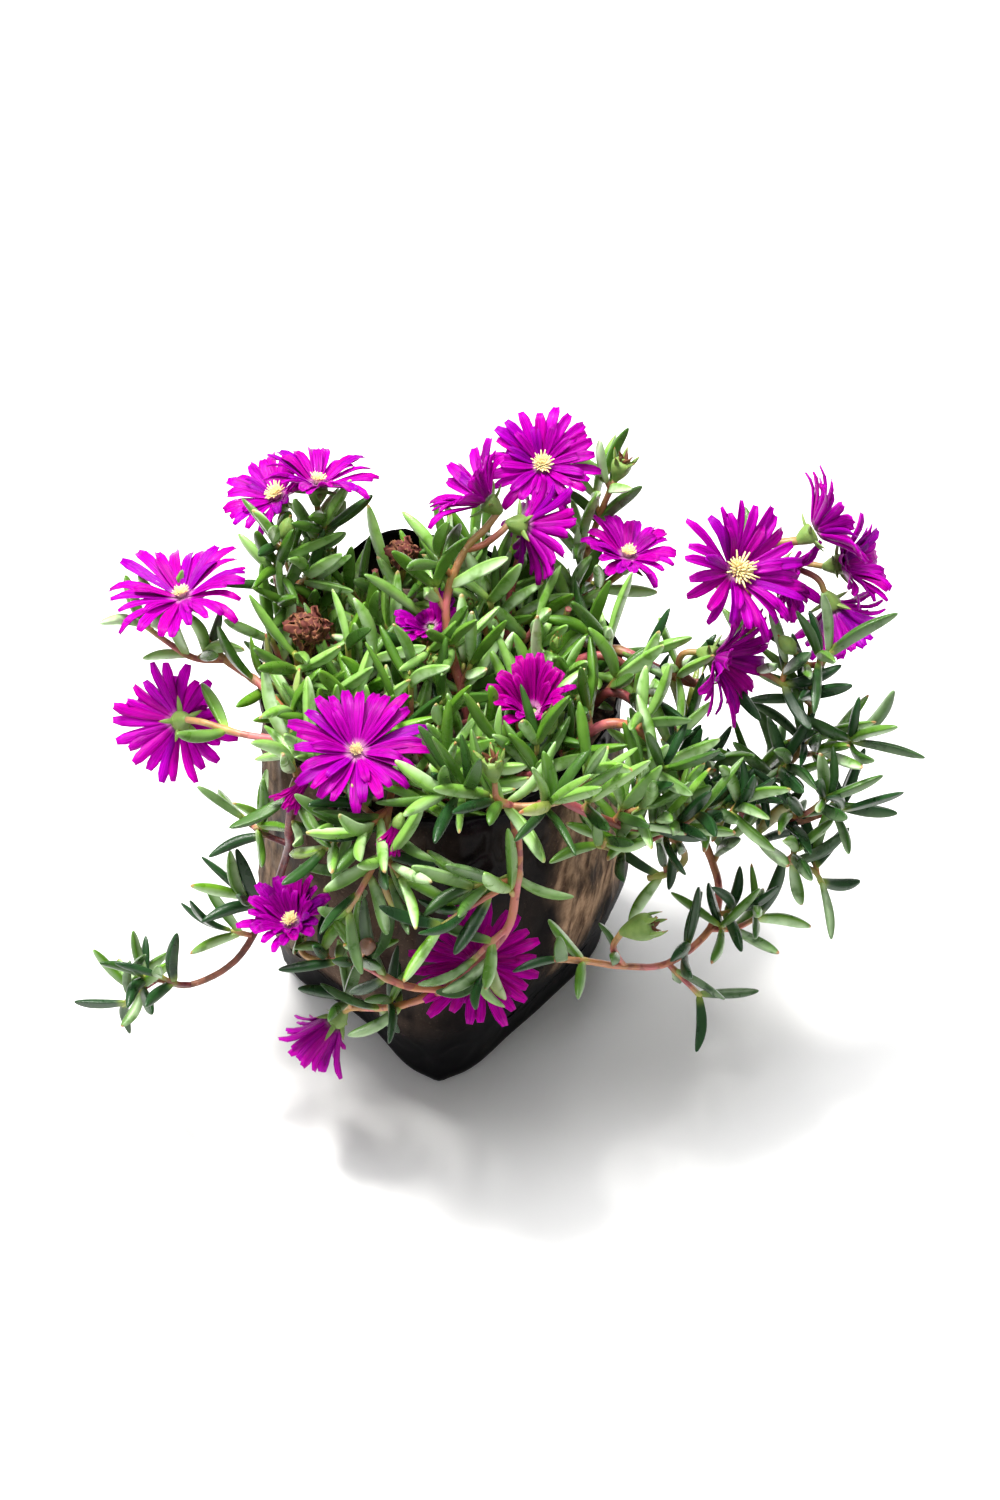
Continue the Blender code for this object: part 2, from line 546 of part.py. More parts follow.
def plan_plant():
    """Lays out every stem, bloom and leaf so that nothing crosses its neighbour."""
    room = Room()
    plan = {}
    for name, (tip, size) in DRIED_HEADS.items():
        room.add([(head_middle(tip, size), size + 0.6)], name)
    for bloom in BLOOMS:
        middle, side, over, facing = bloom_frame(bloom)
        room.add(cup_balls(bloom), "petals_" + bloom)
        room.add([(middle + facing * 3.6, 3.6)], "stamens_" + bloom)
    for order, (name, spec) in enumerate(STEMS.items()):
        root = spec["root"]
        routes = list(spec["routes"])
        if "bush" in spec:
            routes += bush_routes(root, spec["bush"], 40 + order, room, name)
        forks = [Vector(route["at"][0]) for route in routes[1:]] + [Vector((*root, SOIL_TOP + 1.0))]
        lines = []
        for place, route in enumerate(routes):
            points = list(route["at"])
            if place == 0:
                points = [(root[0], root[1], SOIL_TOP - ROOT_DEPTH),
                          (root[0], root[1], SOIL_TOP + 1.0)] + points
            lines.append(thinned(smooth_route(points, 2), forks))
            fine = smooth_route(points, 10)
            r0, r1 = route["r"]
            for index, spot in enumerate(fine):
                if spot.z > SOIL_TOP:
                    room.add([(spot, r0 + (r1 - r0) * index / len(fine))], name)
            if route["tip"] in BLOOMS:
                middle, side, over, facing = bloom_frame(route["tip"])
                room.add([(middle - facing * 2.6, 3.4), (middle - facing * 6.0, 2.6)], name)
            if route["tip"] in ("bud", "pod"):
                end, way = route_at(lines[-1], 1.0)
                room.add([(end + way * 5.0, 4.0), (end + way * 9.0, 3.0)], name)
        plan[name] = {"root": root, "routes": routes, "lines": lines, "leaves": []}
    petals = {bloom: place_petals(room, bloom) for bloom in BLOOMS}
    for name, stem in plan.items():
        draw = random.Random(len(name) * 31 + int(abs(stem["root"][0]) * 7))
        for route, line in zip(stem["routes"], stem["lines"]):
            first, last, pairs, length, turn = route["pairs"]
            base_z = SOIL_TOP + 6.0
            for pair in range(pairs):
                part = first if pairs == 1 else first + (last - first) * pair / (pairs - 1)
                base, way = route_at(line, part)
                base = base - way * (0.55 + 0.17 * pair)
                at_tip = route["tip"] == "leaves" and pair == pairs - 1
                for hand in (0, 180):
                    if base.z < base_z and math.hypot(base.x, base.y) < BAG_RIM_RADIUS:
                        continue
                    leaf = place_leaf(room, name, base, way, turn + hand + 90 * pair
                                      + draw.uniform(-10, 10), length * draw.uniform(0.85, 1.1),
                                      draw.uniform(0.12, 0.3), 50 if at_tip else 36)
                    if leaf:
                        stem["leaves"].append(leaf)
    return plan, petals, room


def ring(centre, side, over, shape):
    return [centre + side * x + over * y for x, y in shape]


def loft(name, rings, tip=None):
    """A closed solid drawn out ring by ring from a flat end; the tip closes to a point."""
    form = bmesh.new()
    count = len(rings[0])
    start = bmesh.ops.create_circle(form, cap_ends=True, segments=count, radius=MM)
    old = start["verts"]
    for vertex, spot in zip(old, rings[0]):
        vertex.co = spot * MM
    face = form.faces[:][0]
    inner = []
    for spots in rings[1:] + ([[tip] * count] if tip is not None else []):
        made = bmesh.ops.extrude_face_region(form, geom=[face])
        face = [item for item in made["geom"] if isinstance(item, bmesh.types.BMFace)][0]
        inner.append(face)
        new = []
        for before in old:
            for edge in before.link_edges:
                other = edge.other_vert(before)
                if other in face.verts:
                    new.append(other)
                    break
        for vertex, spot in zip(new, spots):
            vertex.co = spot * MM
        old = new
    bmesh.ops.delete(form, geom=inner[:-1], context="FACES_ONLY")
    if tip is not None:
        bmesh.ops.pointmerge(form, verts=old, merge_co=tip * MM)
    bmesh.ops.recalc_face_normals(form, faces=form.faces[:])
    mesh = bpy.data.meshes.new(name)
    form.to_mesh(mesh)
    form.free()
    return bpy.data.objects.new(name, mesh)


def circle_shape(sides, radius, first=0.0):
    return [(radius * turned(first + 360.0 * k / sides)[0], radius * turned(first + 360.0 * k / sides)[1])
            for k in range(sides)]


def tube(name, line, r0, r1, sides):
    """A stem: a few-sided rod along its line, with its frame carried along unturned."""
    rings = []
    way = (line[1] - line[0]).normalized()
    side, over = across(way)
    for index, spot in enumerate(line):
        ahead = line[min(index + 1, len(line) - 1)]
        behind = line[max(index - 1, 0)]
        new_way = (ahead - behind).normalized()
        side = (side - new_way * side.dot(new_way)).normalized()
        over = side.cross(new_way).normalized()
        radius = r0 + (r1 - r0) * index / (len(line) - 1)
        rings.append(ring(spot, side, over, circle_shape(sides, radius)))
    return loft(name, rings)


def leaf_solid(name, leaf):
    """A three-edged leaf, flat above and keeled below, tapering to its tip."""
    line, out = leaf["line"], leaf["out"]
    rings = []
    wide = LEAF_WIDTH * (0.72 + 0.28 * leaf["size"])
    deep = LEAF_DEPTH * (0.72 + 0.28 * leaf["size"])
    for spot, ahead, girth in ((line[0], line[1], 0.28), (line[4], line[5], 1.0)):
        way = (ahead - spot).normalized()
        side = way.cross(out)
        if side.length < 0.1:
            side = across(way)[0]
        side = side.normalized()
        top = side.cross(way).normalized()
        shape = ((-wide * 0.5 * girth, deep * 0.36 * girth), (wide * 0.5 * girth, deep * 0.36 * girth),
                 (0.0, -deep * 0.64 * girth))
        rings.append(ring(spot, side, top, shape))
    return loft(name, rings, line[-1])


def calyx_solid(name, bloom):
    """The green cup under a bloom, its five lobes spread below the petals."""
    middle, side, over, facing = bloom_frame(bloom)
    rim = []
    for index in range(10):
        cos, sin = turned(36.0 * index)
        out = side * cos + over * sin
        lobe = index % 2 == 0
        rim.append(middle - facing * (SEAT_GAP + (1.0 if lobe else 0.0)) + out * (8.0 if lobe else 4.2))
    foot = ring(middle - facing * (SEAT_GAP + CALYX_LENGTH), side, over, circle_shape(10, 1.5))
    return loft(name, [foot, rim])


def bud_solid(name, end, way, kind):
    """A closed bud, or a seed pod with a flat open end."""
    side, over = across(way)
    rings = []
    widths = (0.7, 3.2, 3.6, 1.6) if kind == "bud" else (0.7, 3.0, 4.2, 4.4)
    steps = (-1.0, 3.0, 6.5, 11.0) if kind == "bud" else (-1.0, 3.5, 8.0, 11.0)
    for width, step in zip(widths, steps):
        rings.append(ring(end + way * step, side, over, circle_shape(5, width)))
    return loft(name, rings)


def baked(obj, name, material):
    """The object's mesh with its modifiers applied, as the node's only mesh."""
    bpy.context.view_layer.update()
    graph = bpy.context.evaluated_depsgraph_get()
    mesh = bpy.data.meshes.new_from_object(obj.evaluated_get(graph))
    bpy.data.objects.remove(obj, do_unlink=True)
    mesh.name = name
    mesh.materials.clear()
    mesh.materials.append(material)
    done = bpy.data.objects.new(name, mesh)
    parts.objects.link(done)
    return done


def joined(first, others, name, material):
    """One Boolean union of a stem with all that grows on it."""
    cutters.objects.link(first)
    group = bpy.data.collections.new("grown_on_" + name)
    cutters.children.link(group)
    for other in others:
        group.objects.link(other)
    join = first.modifiers.new("join", "BOOLEAN")
    join.operation = "UNION"
    join.operand_type = "COLLECTION"
    join.collection = group
    join.solver = "MANIFOLD"
    done = baked(first, name, material)
    for other in list(group.objects):
        bpy.data.objects.remove(other, do_unlink=True)
    bpy.data.collections.remove(group)
    return done


def plain_material(name, colour, roughness):
    """A plain coloured surface; the colour is typed as on a screen, 0 to 255."""
    linear = [((c / 255.0 + 0.055) / 1.055) ** 2.4 if c > 10 else c / 255.0 / 12.92 for c in colour]
    material = bpy.data.materials.new(name)
    material.use_nodes = True
    surface = material.node_tree.nodes["Principled BSDF"]
    surface.inputs["Base Color"].default_value = (*linear, 1.0)
    surface.inputs["Roughness"].default_value = roughness
    surface.inputs["Metallic"].default_value = 0.0
    return material


def tub(name, levels, radii):
    """A round-cornered tub or plug drawn up level by level from its flat base."""
    rings = []
    for z, shrink in zip(levels, radii):
        spots = []
        for index in range(BAG_SIDES):
            turn = 2.0 * math.pi * index / BAG_SIDES
            radius = bag_radius(turn, z) * shrink[0] - shrink[1]
            spots.append(Vector((radius * math.cos(turn), radius * math.sin(turn), z)))
        rings.append(spots)
    return loft(name, rings)


for old_object in list(bpy.data.objects):
    bpy.data.objects.remove(old_object, do_unlink=True)

parts = bpy.data.collections.new(OBJECT_NAME)
bpy.context.scene.collection.children.link(parts)
cutters = bpy.data.collections.new("cutters")
bpy.context.scene.collection.children.link(cutters)

film = plain_material("bag_film", (34, 32, 33), 0.34)
earth = plain_material("soil", (62, 48, 38), 0.95)
green = plain_material("leaf_stem", (74, 138, 66), 0.5)
petal = plain_material("petal", (212, 8, 212), 0.4)
pollen = plain_material("stamen", (240, 226, 140), 0.7)
withered = plain_material("dried_head", (124, 66, 54), 0.85)

plan, petal_plan, room = plan_plant()

# bag: a thin tub, open at the top, with small drainage holes near the foot
shell = tub("bag_sheet", BAG_LEVELS, [(0.95, 0.0)] + [(1.0, 0.0)] * 4)
sheet = bmesh.new()
sheet.from_mesh(shell.data)
lid = [face for face in sheet.faces if all(v.co.z > (BAG_HEIGHT - 0.1) * MM for v in face.verts)]
bmesh.ops.delete(sheet, geom=lid, context="FACES_ONLY")
sheet.to_mesh(shell.data)
sheet.free()
thick = shell.modifiers.new("film", "SOLIDIFY")
thick.thickness = BAG_FILM * MM
thick.offset = -1.0
thick.use_even_offset = True
drains = bpy.data.collections.new("drains")
cutters.children.link(drains)
for number, turn in enumerate(DRAIN_TURNS):
    cos, sin = turned(turn)
    out = Vector((cos, sin, 0))
    side = Vector((-sin, cos, 0))
    wall = bag_radius(math.radians(turn), DRAIN_HEIGHT)
    spans = [ring(out * (wall + step) + Vector((0, 0, DRAIN_HEIGHT)), side, Vector((0, 0, 1)),
                  circle_shape(6, DRAIN_RADIUS)) for step in (-4.0, 4.0)]
    drains.objects.link(loft("drain_%d" % number, spans))
punch = shell.modifiers.new("drains", "BOOLEAN")
punch.operation = "DIFFERENCE"
punch.operand_type = "COLLECTION"
punch.collection = drains
punch.solver = "EXACT"
cutters.objects.link(shell)
baked(shell, "grow_bag", film)
for drain in list(drains.objects):
    bpy.data.objects.remove(drain, do_unlink=True)
bpy.data.collections.remove(drains)

# soil: a plug inside the bag, with a plain hole for every stem
soil_levels = (BAG_FILM + SOIL_GAP, 6.0, 36.0, 72.0, SOIL_TOP)
inset = BAG_FILM + SOIL_GAP + SOIL_SLACK
plug = tub("soil_plug", soil_levels, [(0.95, inset + 1.8)] + [(1.0, inset)] * 4)
holes = bpy.data.collections.new("holes")
cutters.children.link(holes)
for number, (name, stem) in enumerate(plan.items()):
    x, y = stem["root"]
    size = (stem["routes"][0]["r"][0] + HOLE_PLAY) / math.cos(math.pi / 5.0)
    rings = [ring(Vector((x, y, z)), Vector((1, 0, 0)), Vector((0, 1, 0)), circle_shape(5, size))
             for z in (SOIL_TOP - HOLE_DEPTH, SOIL_TOP + 3.0)]
    holes.objects.link(loft("hole_%d" % number, rings))
dig = plug.modifiers.new("holes", "BOOLEAN")
dig.operation = "DIFFERENCE"
dig.operand_type = "COLLECTION"
dig.collection = holes
dig.solver = "EXACT"
cutters.objects.link(plug)
baked(plug, "soil", earth)
for hole in list(holes.objects):
    bpy.data.objects.remove(hole, do_unlink=True)
bpy.data.collections.remove(holes)

# stems: each with its branches, leaves, calyces, buds and pods grown together
for name, stem in plan.items():
    pieces = []
    for number, (route, line) in enumerate(zip(stem["routes"], stem["lines"])):
        r0, r1 = route["r"]
        pieces.append(tube("%s_rod_%d" % (name, number), line, r0, r1, 4))
        if route["tip"] in BLOOMS:
            pieces.append(calyx_solid("calyx_" + route["tip"], route["tip"]))
        if route["tip"] in ("bud", "pod"):
            end, way = route_at(line, 1.0)
            pieces.append(bud_solid("%s_bud_%d" % (name, number), end, way, route["tip"]))
    for number, leaf in enumerate(stem["leaves"]):
        pieces.append(leaf_solid("%s_leaf_%d" % (name, number), leaf))
    joined(pieces[0], pieces[1:], name, green)

# blooms: a star of petals round a small disc
for bloom, rays in petal_plan.items():
    middle, side, over, facing = bloom_frame(bloom)
    count = len(rays)
    star = bmesh.new()
    made = bmesh.ops.create_circle(star, cap_ends=True, segments=count, radius=MM)
    feet = made["verts"]
    for index, vertex in enumerate(feet):
        cos, sin = turned(360.0 * index / count)
        vertex.co = (middle + (side * cos + over * sin) * DISC_RADIUS) * MM
    for index in range(count):
        pair = (feet[index], feet[(index + 1) % count])
        edge = [item for item in pair[0].link_edges if pair[1] in item.verts][0]
        turn, length, cup = rays[index]
        foot, wide, tip = petal_points(bloom, turn, length, cup)
        cos, sin = turned(turn)
        spread = side * -sin + over * cos
        off = (wide - middle).cross(facing).length
        half = 0.5 * min(PETAL_WIDTH, off * 2.0 * math.pi / count * 0.86)
        grown = bmesh.ops.extrude_edge_only(star, edges=[edge])
        ends = [item for item in grown["geom"] if isinstance(item, bmesh.types.BMVert)]
        edge = [item for item in grown["geom"] if isinstance(item, bmesh.types.BMEdge)][0]
        for vertex in ends:
            nearer = pair[0] in [e.other_vert(vertex) for e in vertex.link_edges]
            vertex.co = (wide + spread * (-half if nearer else half)) * MM
        grown = bmesh.ops.extrude_edge_only(star, edges=[edge])
        ends = [item for item in grown["geom"] if isinstance(item, bmesh.types.BMVert)]
        for vertex in ends:
            vertex.co = tip * MM
        bmesh.ops.pointmerge(star, verts=ends, merge_co=tip * MM)
    bmesh.ops.recalc_face_normals(star, faces=star.faces[:])
    cap = max(star.faces, key=lambda face: len(face.verts))
    if cap.normal.dot(facing) < 0.0:
        bmesh.ops.reverse_faces(star, faces=star.faces[:])
    mesh = bpy.data.meshes.new("petals_" + bloom)
    star.to_mesh(mesh)
    star.free()
    flower = bpy.data.objects.new("petals_" + bloom, mesh)
    cutters.objects.link(flower)
    leafing = flower.modifiers.new("blade", "SOLIDIFY")
    leafing.thickness = PETAL_THICK * MM
    leafing.offset = 1.0
    baked(flower, "petals_" + bloom, petal)

# stamens: a pointed crown in the middle of each open bloom
for bloom in BLOOMS:
    if bloom in NO_STAMENS:
        continue
    middle, side, over, facing = bloom_frame(bloom)
    low = middle + facing * (PETAL_THICK + SEAT_GAP)
    foot = ring(low, side, over, circle_shape(6, 2.6))
    crown = []
    for index in range(6):
        cos, sin = turned(60.0 * index)
        out = side * cos + over * sin
        spike = index % 2 == 0
        crown.append(low + facing * (5.4 if spike else 3.0) + out * (4.0 if spike else 3.0))
    tuft = loft("stamens_" + bloom, [foot, crown])
    cutters.objects.link(tuft)
    baked(tuft, "stamens_" + bloom, pollen)

# dried flower heads: crumpled lumps caught among the shoots
for name, (tip, size) in DRIED_HEADS.items():
    draw = random.Random(len(name))
    lump = bmesh.new()
    bmesh.ops.create_icosphere(lump, subdivisions=2, radius=size * MM)
    for vertex in lump.verts:
        crumpled = vertex.co * draw.uniform(0.74, 1.04)
        crumpled.z = max(crumpled.z, -0.8 * size * MM)
        vertex.co = crumpled + head_middle(tip, size) * MM
    flat = min(vertex.co.z for vertex in lump.verts)
    for vertex in lump.verts:
        vertex.co.z += (tip[2] + SEAT_GAP) * MM - flat
    mesh = bpy.data.meshes.new(name)
    lump.to_mesh(mesh)
    lump.free()
    head = bpy.data.objects.new(name, mesh)
    cutters.objects.link(head)
    baked(head, name, withered)

bpy.data.collections.remove(cutters)
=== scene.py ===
# A trailing ice plant in bloom, in the black film bag that it was grown in: its looks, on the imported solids.
# Lengths are typed in millimetres and turned into metres by MM; -Y is the front of the photograph.

import json
import math
import random

import bmesh
import bpy
import numpy as np
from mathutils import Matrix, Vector, noise

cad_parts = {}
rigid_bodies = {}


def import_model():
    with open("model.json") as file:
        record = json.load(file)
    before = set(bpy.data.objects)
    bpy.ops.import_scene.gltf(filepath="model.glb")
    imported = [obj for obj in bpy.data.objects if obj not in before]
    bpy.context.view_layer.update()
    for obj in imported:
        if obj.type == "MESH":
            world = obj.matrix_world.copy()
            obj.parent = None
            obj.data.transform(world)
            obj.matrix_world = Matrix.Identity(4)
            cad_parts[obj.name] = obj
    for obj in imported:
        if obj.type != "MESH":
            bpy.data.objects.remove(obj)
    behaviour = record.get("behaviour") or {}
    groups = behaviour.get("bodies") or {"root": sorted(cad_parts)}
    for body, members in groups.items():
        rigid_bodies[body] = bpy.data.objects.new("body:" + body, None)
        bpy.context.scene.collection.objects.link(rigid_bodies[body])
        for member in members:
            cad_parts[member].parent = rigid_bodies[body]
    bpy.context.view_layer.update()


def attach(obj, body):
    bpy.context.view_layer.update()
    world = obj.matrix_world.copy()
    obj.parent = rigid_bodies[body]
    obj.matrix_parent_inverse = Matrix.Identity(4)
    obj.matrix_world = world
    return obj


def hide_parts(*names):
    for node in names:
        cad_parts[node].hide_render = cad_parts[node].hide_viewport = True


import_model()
MM = 0.001

# The grow bag is one tube of thin black film, sealed flat below and open above. Soil fills it, so it
# bulges to a rounded square, and its slack wall creases. Its upper wall is dusty, its foot is clean and
# glossy, and small drainage holes are punched low in it.
BAG_HEIGHT = 190.0
BAG_RIM_RADIUS = 74.0
BAG_BELLY_RADIUS = 78.5
BAG_FOOT_RADIUS = 63.0
BAG_BELLY_HEIGHT = 72.0
# how square the foot is, and the height where the bag has grown round
BAG_CORNER = 0.135
BAG_CORNER_SHARP = 0.02
BAG_ROUND_FROM = 110.0
FILM_THICK = 0.5
FILM_SIDES = 220
FILM_STEP = 2.5
# how far the four corners of the flat foot are drawn out to a point, how keen, and up to what height
FOOT_POINT = 1.8
FOOT_POINT_KEEN = 44
FOOT_POINT_TO = 70.0
# the lip of the rim wavers above this height
LIP_FOOT = 176.0
# behind, a flap of the rim stands higher than the rest: how much, at what angle, how wide, from what height
FLAP_HEIGHT = 12.0
FLAP_AT = 109.0
FLAP_WIDTH = 17.0
FLAP_FOOT = 140.0
DRAIN_RADIUS = 2.8
DRAIN_HEIGHT = 33.0
DRAIN_TURNS = (-158.0, -121.0, -63.0, -22.0, 24.0, 62.0, 118.0, 157.0)
# pleats: the angle each stands at, its half width and lean in degrees, and how far it stands out
PLEATS = ((-148, 2.6, 0.05, 1.2), (-131, 1.8, -0.06, 0.9), (-112, 3.4, 0.08, 1.0), (-97, 1.6, -0.03, 0.8),
          (-78, 2.2, 0.07, 1.1), (-61, 1.5, -0.09, 0.9), (-47, 2.8, 0.04, 1.2), (-35, 1.4, -0.05, 1.0),
          (-21, 2.0, 0.06, 1.3), (-6, 2.6, -0.07, 0.9), (17, 2.2, 0.05, 1.0), (48, 3.0, -0.04, 1.1),
          (83, 2.0, 0.08, 0.9), (121, 2.6, -0.06, 1.1), (158, 1.9, 0.03, 1.0))


def turned(degrees):
    return math.cos(math.radians(degrees)), math.sin(math.radians(degrees))


def eased(value):
    value = max(0.0, min(1.0, value))
    return value * value * (3.0 - 2.0 * value)


def corner_turn(turn):
    """The angle counted round the foot's four corners, which stand a little askew."""
    return turn - 0.16 - 0.19 * math.sin(turn)


def bag_radius(turn, z):
    """Outer radius of the bag at an angle and a height."""
    if z < BAG_BELLY_HEIGHT:
        body = BAG_FOOT_RADIUS + (BAG_BELLY_RADIUS - BAG_FOOT_RADIUS) * eased(z / BAG_BELLY_HEIGHT)
    else:
        up = (z - BAG_BELLY_HEIGHT) / (BAG_HEIGHT - BAG_BELLY_HEIGHT)
        body = BAG_BELLY_RADIUS + (BAG_RIM_RADIUS - BAG_BELLY_RADIUS) * eased(up)
    skew = corner_turn(turn)
    square = BAG_CORNER * math.cos(4.0 * skew) + BAG_CORNER_SHARP * math.cos(8.0 * skew)
    corner = square * (1.0 - eased(z / BAG_ROUND_FROM))
    waver = (0.011 * math.sin(3.0 * turn + 0.6) + 0.008 * math.sin(5.0 * turn + 2.0)) * z / BAG_HEIGHT
    return body * (1.0 + corner + waver)


def film_folds(turn, z):
    """How far the slack film stands off its even round at an angle and a height."""
    slack = eased(z / 26.0) * (0.45 + 0.55 * eased((z - 50.0) / 120.0))
    pleats = 0.0
    for at, width, lean, stand in PLEATS:
        off = (math.degrees(turn) - at - lean * (z - 95.0) + 180.0) % 360.0 - 180.0
        strength = 0.5 + 0.5 * math.sin(z / 21.0 + at)
        pleats += stand * (0.35 + 0.65 * strength) * math.exp(-(off / width) ** 2)
    spot = Vector((math.cos(turn) * 3.2, math.sin(turn) * 3.2, z / 52.0))
    broad = noise.noise(spot)
    crease = max(0.0, 0.22 - abs(noise.noise(spot * 2.3 + Vector((9.0, 3.0, 5.0)))))
    fine = noise.noise(Vector((spot.x * 5.0, spot.y * 5.0, spot.z * 3.5 + 2.0 * turn)))
    return max(-0.9, min(2.2, slack * (pleats + 0.9 * broad + 4.6 * crease + 0.5 * fine - 0.55)))


def spun_round(profile, sides):
    """Spins a half outline of (radius, height) points once round the bag's middle line."""
    form = bmesh.new()
    points = [form.verts.new((radius, 0.0, height)) for radius, height in profile]
    lines = [form.edges.new(pair) for pair in zip(points, points[1:])]
    bmesh.ops.spin(form, geom=points + lines, cent=(0, 0, 0), axis=(0, 0, 1), dvec=(0, 0, 0),
                   angle=math.tau, steps=sides, use_merge=True, use_normal_flip=False, use_duplicate=False)
    bmesh.ops.remove_doubles(form, verts=form.verts[:], dist=1e-5)
    bmesh.ops.recalc_face_normals(form, faces=form.faces[:])
    return form


def piece_of(form, name):
    """The object made of a finished form, smooth-shaded."""
    mesh = bpy.data.meshes.new(name)
    form.to_mesh(mesh)
    form.free()
    mesh.polygons.foreach_set("use_smooth", [True] * len(mesh.polygons))
    piece = bpy.data.objects.new(name, mesh)
    bpy.context.scene.collection.objects.link(piece)
    return piece


def thickened(piece, thick, offset):
    """Gives a sheet its thickness: evenly both ways at offset 0, all of it inwards at -1."""
    sheet = piece.modifiers.new("thickness", "SOLIDIFY")
    sheet.thickness = thick * MM
    sheet.offset = offset


def applied(piece):
    """Works the piece's modifiers into its mesh."""
    bpy.context.view_layer.update()
    mesh = bpy.data.meshes.new_from_object(piece.evaluated_get(bpy.context.evaluated_depsgraph_get()))
    piece.modifiers.clear()
    piece.data = mesh


class Reading:
    """A value read off a surface; sums written on it become nodes of its finish."""

    def __init__(self, finish, socket):
        self.finish = finish
        self.socket = socket

    def worked(self, kind, first, second, held=False):
        settings = {"operation": kind, "use_clamp": held}
        return self.finish.node("ShaderNodeMath", settings, {0: first, 1: second})

    def __add__(self, other):
        return self.worked("ADD", self, other)

    def __sub__(self, other):
        return self.worked("SUBTRACT", self, other)

    def __rsub__(self, other):
        return self.worked("SUBTRACT", other, self)

    def __mul__(self, other):
        return self.worked("MULTIPLY", self, other)

    def __pow__(self, other):
        return self.worked("POWER", self, other)

    __radd__ = __add__
    __rmul__ = __mul__

    def held(self):
        """The same value kept between 0 and 1."""
        return self.worked("ADD", self, 0.0, True)

    def between(self, low, high):
        """0 below the low value, 1 above the high one, and an even rise in between."""
        sockets = {"Value": self, "From Min": low, "From Max": high}
        return self.finish.node("ShaderNodeMapRange", {"interpolation_type": "SMOOTHSTEP"}, sockets)


def screen(red, green, blue):
    """A colour typed as on a screen, 0 to 255, as the renderer wants it."""
    return tuple(((c / 255.0 + 0.055) / 1.055) ** 2.4 if c > 10 else c / 255.0 / 12.92
                 for c in (red, green, blue)) + (1.0,)


class Finish:
    """A procedural surface: its material, and the one method that adds a node to it."""

    def __init__(self, name, constants):
        self.material = bpy.data.materials.new(name)
        self.material.use_nodes = True
        self.tree = self.material.node_tree
        self.surface = self.tree.nodes["Principled BSDF"]
        for socket, value in constants.items():
            self.surface.inputs[socket].default_value = value

    def node(self, kind, settings, sockets, out=0):
        made = self.tree.nodes.new(kind)
        for setting, value in settings.items():
            setattr(made, setting, value)
        self.feed(made, sockets)
        if out is None:
            return [Reading(self, socket) for socket in made.outputs]
        return Reading(self, made.outputs[out])

    def feed(self, made, sockets):
        for socket, value in sockets.items():
            if isinstance(value, Reading):
                self.tree.links.new(value.socket, made.inputs[socket])
            else:
                made.inputs[socket].default_value = value

    def axes(self):
        """How far east, north and up a point of the piece is, in metres."""
        spot = self.node("ShaderNodeTexCoord", {}, {}, "Object")
        return self.node("ShaderNodeSeparateXYZ", {}, {"Vector": spot}, None)

    def place(self, scale=(1.0, 1.0, 1.0)):
        """Where a point of the piece is, in metres times a scale."""
        spot = self.node("ShaderNodeTexCoord", {}, {}, "Object")
        return self.node("ShaderNodeMapping", {}, {"Vector": spot, "Scale": scale})

    def grain(self, scale, detail=3.0, vector=None):
        """Cloudy variation, 0 to 1, with spots of about one over the scale in metres."""
        sockets = {"Scale": scale, "Detail": detail, "Vector": vector or self.place()}
        return self.node("ShaderNodeTexNoise", {}, sockets, "Fac")

    def growth(self):
        """What the piece's own attribute says at a point: its four readings."""
        read = self.node("ShaderNodeAttribute", {"attribute_name": "growth"}, {}, None)
        return self.node("ShaderNodeSeparateColor", {}, {"Color": read[0]}, None) + [read[3]]

    def mixed(self, share, first, second):
        """One colour laid over another by a share."""
        sockets = {0: share, 6: first, 7: second}
        return self.node("ShaderNodeMix", {"data_type": "RGBA"}, sockets, 2)

    def raised(self, height, distance, strength=1.0, under=None):
        """The surface roughened by a height, in metres."""
        sockets = {"Height": height, "Distance": distance, "Strength": strength}
        if under:
            sockets["Normal"] = under
        return self.node("ShaderNodeBump", {}, sockets)

    def done(self, **readings):
        names = {"colour": "Base Color", "rough": "Roughness", "normal": "Normal", "coat": "Coat Weight"}
        self.feed(self.surface, {names[key]: value for key, value in readings.items()})
        return self.material


rise = [(0.0, 0.0), (0.5, 0.0), (0.95, 0.0), (0.985, 1.2), (1.0, 5.0)]
rise += [(1.0, 5.0 + FILM_STEP * step) for step in range(1, 74)] + [(1.0, BAG_HEIGHT)]
bag_form = spun_round(rise, FILM_SIDES)
for point in bag_form.verts:
    turn, z = math.atan2(point.co.y, point.co.x), point.co.z
    share = math.hypot(point.co.x, point.co.y)
    lip = eased((z - LIP_FOOT) / (BAG_HEIGHT - LIP_FOOT))
    flap = FLAP_HEIGHT * math.exp(-((math.degrees(turn) - FLAP_AT) / FLAP_WIDTH) ** 2)
    flap *= eased((z - FLAP_FOOT) / (BAG_HEIGHT - FLAP_FOOT))
    radius = bag_radius(turn, z) * share + film_folds(turn, z) * eased(z / 5.0)
    point_out = max(0.0, math.cos(4.0 * corner_turn(turn))) ** FOOT_POINT_KEEN
    radius += FOOT_POINT * point_out * (1.0 - eased(z / FOOT_POINT_TO)) * share
    radius += lip * (0.9 * math.sin(9.0 * turn) + 0.7 * math.sin(4.0 * turn + 1.0))
    height = z + lip * (1.1 * math.sin(5.0 * turn) + 0.8 * math.sin(13.0 * turn + 2.0)) + flap
    point.co = Vector((radius * math.cos(turn), radius * math.sin(turn), height)) * MM
grow_bag = piece_of(bag_form, "film_bag")
thickened(grow_bag, FILM_THICK, -1.0)
punches = bpy.data.collections.new("punches")
